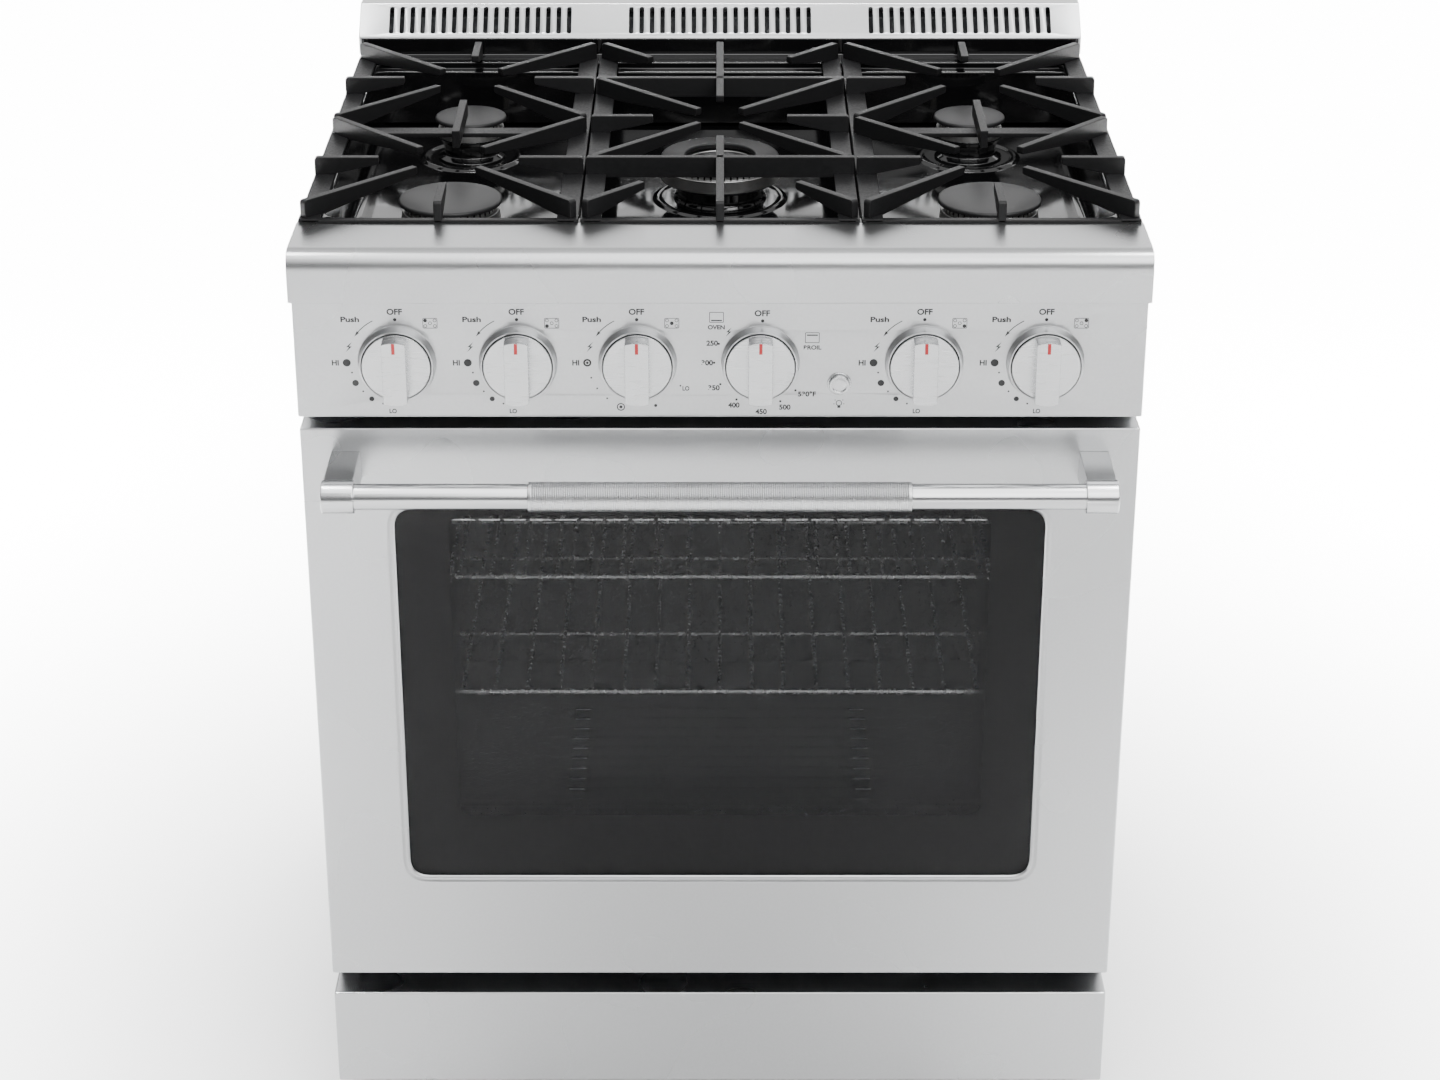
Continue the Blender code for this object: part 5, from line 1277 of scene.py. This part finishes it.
def make_door_skin(sizes):
    """The outer skin, with the two-step rim pressed round its window."""
    low, high = corners("door_skin")
    centre = sizes.window_low + sizes.window_height / 2
    wide, deep = sizes.rim_slope, sizes.rim_depth
    slope = [(-wide, 0), (-wide * 0.86, -deep * 0.02, 0.0006), (-wide * 0.50, -deep * 0.5, 0.0006)]
    slope += [(-wide * 0.27, -deep * 0.5, 0.0006), (0, -deep)]
    rim = []
    for inset, height in rounded(slope):
        width, tall = sizes.window_width - 2 * inset, sizes.window_height - 2 * inset
        rim.append((oval(width, tall, sizes.window_corner - inset, 0, centre, 10), height))
    sheet = folded((low.x, low.z), (high.x, high.z), high.y - low.y, sizes.edge, [rim])
    hinges = [corners(f"hinge_bracket_{side}") for side in ("left", "right")]
    notched(sheet, low.z, [(start.x - SHEET, end.x + SHEET) for start, end in hinges])
    placed(sheet, FRONT, (0, low.y, 0))
    name, nodes = "door_outer_skin", ["door_skin"]
    piece(sheet, name, "satin_stainless", "door", nodes, smooth=FLAT, wall=THIN_SHEET)


def make_window(sizes):
    """The tinted pane and the black border fired on its back."""
    low, high = corners("door_glass_outer")
    outline = oval(high.x - low.x, high.z - low.z, sizes.window_corner, 0, (low.z + high.z) / 2, 8)
    pane = prism(outline, -(high.y - low.y), 0)
    soften(pane, sharp(pane), 0.0004)
    placed(pane, FRONT, (0, low.y, 0))
    piece(pane, "window_pane", "tinted_glass", "door", ["door_glass_outer"])
    tall, centre = sizes.clear_high - sizes.clear_low, (sizes.clear_high + sizes.clear_low) / 2
    clear = oval(sizes.clear_width, tall, sizes.window_corner * 0.8, 0, centre, 8)
    front = -(high.y - low.y) - 0.0002
    back = front - 0.0003
    bm = bmesh.new()
    lofted(bm, [(outline, front), (clear, front), (clear, back), (outline, back), (outline, front)])
    bmesh.ops.remove_doubles(bm, verts=bm.verts, dist=MERGE)
    bmesh.ops.recalc_face_normals(bm, faces=bm.faces)
    piece(placed(bm, FRONT, (0, low.y, 0)), "window_border", "ceramic_print", "door")


def make_retainer(sizes):
    """The bright slotted strip that holds the top of the pane, seen through the glass."""
    front, pitch, half = corners("door_glass_outer")[1].y + 0.0006, 0.0235, 0.0098
    back, low, high = front + 0.0012, sizes.clear_high - 0.0052, sizes.clear_high - 0.0036
    count = int(sizes.clear_width / pitch)
    lands = []
    for index in range(count):
        x = (index - (count - 1) / 2) * pitch
        lands.append(block((x - half, front, low), (x + half, back, high), 0))
    piece(gathered(lands), "pane_retainer", "chrome_wire", "door")


def make_inner_panel():
    """The enamelled back of the door, with a rim pressed round the inner glass."""
    low, high = corners("door_inner_panel")
    glass_low, glass_high = corners("door_glass_inner")
    centre, lap = (glass_low.z + glass_high.z) / 2, 0.016
    width, height = glass_high.x - glass_low.x - lap, glass_high.z - glass_low.z - lap
    rim = []
    for inset, depth in rounded([(-0.009, 0), (-0.006, -0.0002, 0.001), (0, -0.0016)]):
        rim.append((oval(width - 2 * inset, height - 2 * inset, 0.015 - inset, 0, centre, 8), depth))
    sheet = folded((low.x, low.z), (high.x, high.z), high.y - low.y, 0.003, [rim])
    placed(sheet, BACK, (0, high.y, 0))
    name, nodes = "door_liner", ["door_inner_panel"]
    piece(sheet, name, "speckled_oven_enamel", "door", nodes, smooth=FLAT, wall=THIN_SHEET)


def knurled(sizes, end):
    """The outline of the bar and its sleeve, from one end to the other: (radius, height) points."""
    bar, grip, half = sizes.bar_radius, sizes.grip_radius, sizes.grip_length / 2
    valley = grip - (grip - bar) * 0.30
    shoulder = [(bar, half + 0.0015), (grip - 0.0003, half + 0.0008), (grip, half - 0.0016)]
    ridged = sizes.grip_length - 0.004
    count = round(ridged / sizes.grip_pitch)
    pitch = ridged / count
    profile = [(0, end), (bar, end), *shoulder]
    for index in range(count):
        top = ridged / 2 - index * pitch
        profile += [(grip, top - 0.12 * pitch), (valley, top - 0.5 * pitch), (grip, top - 0.88 * pitch)]
    profile += [(radius, -height) for radius, height in reversed(shoulder)]
    return profile + [(bar, -end), (0, -end)]


def make_handle(sizes):
    """The bar with its knurled sleeve, held by two posts with round caps."""
    low, high = corners("handle_bar")
    y, z = (low.y + high.y) / 2, (low.z + high.z) / 2
    bm = turned(knurled(sizes, high.x), 56)
    for face in bm.faces:
        if abs(face.calc_center_median().z) < sizes.grip_length / 2 + 0.001:
            face.material_index = 1
    placed(bm, Matrix.Rotation(math.radians(90), 4, "Y"), (0, y, z))
    finishes = ("polished_stainless", "knurled_stainless")
    piece(bm, "grip_bar", finishes, "door", ["handle_bar"], smooth=50)
    for side, name in ((-1, "left"), (1, "right")):
        node = f"handle_post_{name}"
        low, high = corners(node)
        radius, bore = sizes.post_radius, sizes.bar_radius + 0.0002
        arm_low, arm_top = z - radius * 0.86, z + radius * 0.965
        outline = [(y, arm_low), (high.y, arm_low), (high.y, arm_top), (y, arm_top)]
        arm = prism(outline, low.x + 0.0012, high.x - 0.0012)
        soften(arm, sharp(arm), 0.0012)
        inner, outer = sorted((abs(low.x), abs(high.x)))
        seat = outer - 0.003
        cap = [(0, seat), (bore, seat)]
        cap += rounded([(bore, inner), (radius, inner, 0.0010), (radius, outer, 0.0016), (0, outer)])
        ring = placed(turned(cap, 64), Matrix.Rotation(math.radians(90 * side), 4, "Y"), (0, y, z))
        post = gathered([placed(tinted(arm, 1), SIDEWAYS), ring])
        piece(post, f"post_{name}", ("polished_stainless", "satin_stainless"), "door", [node])


def make_racks(sizes):
    """Wire racks: a round frame with rounded corners, wires from front to back and bars under them."""
    for level in ("lower", "upper"):
        node = f"oven_rack_{level}"
        low, high = corners(node)
        frame_r, wire_r = sizes.rack_frame, sizes.rack_wire
        z = high.z - frame_r
        x, front, back = high.x - frame_r, low.y + frame_r, high.y - frame_r
        outline = oval(2 * x, back - front, 0.012, 0, (front + back) / 2, 4)
        shapes = [wire([(u, v, z) for u, v in outline], frame_r)]
        count = int((x - 0.005) / sizes.rack_pitch)
        top = z + frame_r - wire_r - 0.0002
        for index in range(-count, count + 1):
            at = index * sizes.rack_pitch
            shapes.append(rod((at, front, top), (at, back, top), wire_r))
        for share in (0.3, 0.72):
            y = front + share * (back - front)
            shapes.append(rod((-x, y, z - 0.0012), (x, y, z - 0.0012), wire_r))
        bm = gathered(shapes)
        piece(bm, f"wire_rack_{level}", "chrome_wire", f"rack_{level}", [node], smooth=60)


# ---------------------------------------------------------------- studio
def make_stage(colours):
    """A pale floor, a camera above and before the range, and soft boxes round it."""
    bm = bmesh.new()
    bmesh.ops.create_grid(bm, x_segments=1, y_segments=1, size=14)
    mesh = bpy.data.meshes.new("studio_floor")
    bm.to_mesh(mesh)
    bm.free()
    # Matt seamless paper: an even pale tone with hardly any cloud in it.
    base = tuple(colours.floor)
    tree, shader, where = finish("seamless_paper", base, 0.0, 0.95)
    shade(tree, shader, grain(tree, where, 0.8), scaled(base, 0.985), base)
    mesh.materials.append(bpy.data.materials["seamless_paper"])
    floor = bpy.data.objects.new("studio_floor", mesh)
    bpy.context.scene.collection.objects.link(floor)
    world = bpy.data.worlds.new("studio")
    world.use_nodes = True
    tree = world.node_tree
    tree.nodes["Background"].inputs["Color"].default_value = (1, 1, 1, 1)
    where = add_node(tree, "ShaderNodeTexCoord").outputs["Generated"]
    height = add_node(tree, "ShaderNodeSeparateXYZ", None, {"Vector": where}).outputs["Z"]
    values = {"From Min": 0.25, "From Max": 0.85, "To Min": 0.22, "To Max": 1.3}
    glow = add_node(tree, "ShaderNodeMapRange", values, {"Value": height}).outputs[0]
    tree.links.new(glow, tree.nodes["Background"].inputs["Strength"])
    bpy.context.scene.world = world
    # name, place, what it faces, width, height, power in watts, spread in degrees
    lamps = (
        ("softbox_top", (0.5, -1.2, 3.0), (0.5, -1.15, 0.0), 2.6, 2.2, 52, 180),
        ("softbox_front", (1.3, -3.2, 2.9), (0.2, -0.4, 0.9), 3.8, 2.0, 100, 180),
        ("floor_light_front", (1.3, -3.7, 3.0), (1.3, -3.7, 0.0), 4.8, 1.8, 75, 56),
        ("floor_spot_left", (-0.95, -1.85, 2.3), (-0.85, -1.75, 0.0), 0.4, 0.7, 18, 40),
        ("floor_light_back", (0.0, 3.4, 3.6), (0.0, 3.4, 0.0), 7.5, 5.0, 1900, 36),
        ("floor_light_left", (-1.55, 0.25, 3.0), (-1.55, 0.25, 0.0), 1.6, 2.4, 120, 30),
        ("floor_light_right", (1.55, 0.25, 3.0), (1.55, 0.25, 0.0), 1.6, 2.4, 120, 30),
        ("back_panel", (1.4, 5.5, 2.6), (0.1, 0.0, 1.6), 8.0, 4.0, 165, 180),
    )
    for name, place, target, width, height, power, spread_angle in lamps:
        light = bpy.data.lights.new(name, "AREA")
        light.shape = "RECTANGLE"
        light.size, light.size_y = width, height
        light.energy = power
        light.spread = math.radians(spread_angle)
        lamp = bpy.data.objects.new(name, light)
        lamp.visible_camera = False
        lamp.location = place
        aim = Vector(target) - Vector(place)
        lamp.rotation_euler = aim.to_track_quat("-Z", "Y").to_euler()
        bpy.context.scene.collection.objects.link(lamp)
    data = bpy.data.cameras.new("camera")
    data.lens = 77.6
    data.sensor_width = 36
    camera = bpy.data.objects.new("camera", data)
    camera.location = (0, -2.871, 1.816)
    camera.rotation_euler = (math.radians(65.31), 0, 0)
    bpy.context.scene.collection.objects.link(camera)
    bpy.context.scene.camera = camera


# ---------------------------------------------------------------- operators and panel
class RANGE_OT_finishes(bpy.types.Operator):
    """Makes every material and gives the frame's own nodes theirs"""

    bl_idname = "gas_range.finishes"
    bl_label = "Finishes"

    def execute(self, context):
        colours = context.scene.range_colours
        make_metals(colours)
        make_coatings(colours)
        make_glasses(colours)
        finish_frame()
        return {"FINISHED"}


class RANGE_OT_stage(bpy.types.Operator):
    """Sets up the floor, the soft light and the camera"""

    bl_idname = "gas_range.stage"
    bl_label = "Studio"

    def execute(self, context):
        make_stage(context.scene.range_colours)
        return {"FINISHED"}


class RANGE_OT_controls(bpy.types.Operator):
    """Builds the control panel, its print, the knobs and the light button"""

    bl_idname = "gas_range.controls"
    bl_label = "Controls"

    def execute(self, context):
        sizes = context.scene.range_sizes
        face = make_control_panel(sizes)
        make_dial_print(face)
        make_knobs(sizes, face)
        make_light_button(face)
        return {"FINISHED"}


class RANGE_OT_body(bpy.types.Operator):
    """Builds the front rail, kick plate, rear panel and feet"""

    bl_idname = "gas_range.body"
    bl_label = "Body"

    def execute(self, context):
        sizes = context.scene.range_sizes
        make_front_rail(sizes)
        make_kick_plate(sizes)
        make_rear_panel()
        make_gas_inlet()
        make_legs()
        return {"FINISHED"}


class RANGE_OT_cooktop(bpy.types.Operator):
    """Builds the pan, burners, caps, grates and vent trim"""

    bl_idname = "gas_range.cooktop"
    bl_label = "Cooktop"

    def execute(self, context):
        sizes = context.scene.range_sizes
        make_pan(sizes)
        make_side_heads()
        make_centre_head()
        make_electrodes()
        make_caps()
        make_grates(sizes)
        make_vent_trim(sizes)
        return {"FINISHED"}


class RANGE_OT_door(bpy.types.Operator):
    """Builds the oven door, its window and its handle"""

    bl_idname = "gas_range.door"
    bl_label = "Door"

    def execute(self, context):
        sizes = context.scene.range_sizes
        make_door_skin(sizes)
        make_window(sizes)
        make_retainer(sizes)
        make_inner_panel()
        make_handle(sizes)
        return {"FINISHED"}


class RANGE_OT_racks(bpy.types.Operator):
    """Builds the oven's wire racks"""

    bl_idname = "gas_range.racks"
    bl_label = "Racks"

    def execute(self, context):
        make_racks(context.scene.range_sizes)
        return {"FINISHED"}


OPERATORS = (
    RANGE_OT_stage,
    RANGE_OT_finishes,
    RANGE_OT_controls,
    RANGE_OT_body,
    RANGE_OT_cooktop,
    RANGE_OT_door,
    RANGE_OT_racks,
)


class VIEW3D_PT_gas_range(bpy.types.Panel):
    bl_label = "Gas Range"
    bl_idname = "VIEW3D_PT_gas_range"
    bl_space_type = "VIEW_3D"
    bl_region_type = "UI"
    bl_category = "Gas Range"

    def draw(self, context):
        layout = self.layout
        for operator in OPERATORS:
            layout.operator(operator.bl_idname)
        for group in (context.scene.range_sizes, context.scene.range_colours):
            column = layout.column()
            for name in group.__annotations__:
                column.prop(group, name)


CLASSES = (RangeSizes, RangeColours, *OPERATORS, VIEW3D_PT_gas_range)


def register():
    for cls in CLASSES:
        bpy.utils.register_class(cls)
    bpy.types.Scene.range_sizes = PointerProperty(type=RangeSizes)
    bpy.types.Scene.range_colours = PointerProperty(type=RangeColours)


def unregister():
    del bpy.types.Scene.range_colours
    del bpy.types.Scene.range_sizes
    for cls in reversed(CLASSES):
        bpy.utils.unregister_class(cls)


def main():
    register()
    bpy.ops.gas_range.stage()
    bpy.ops.gas_range.finishes()
    bpy.ops.gas_range.controls()
    bpy.ops.gas_range.body()
    bpy.ops.gas_range.cooktop()
    bpy.ops.gas_range.door()
    bpy.ops.gas_range.racks()


if __name__ == "__main__":
    main()
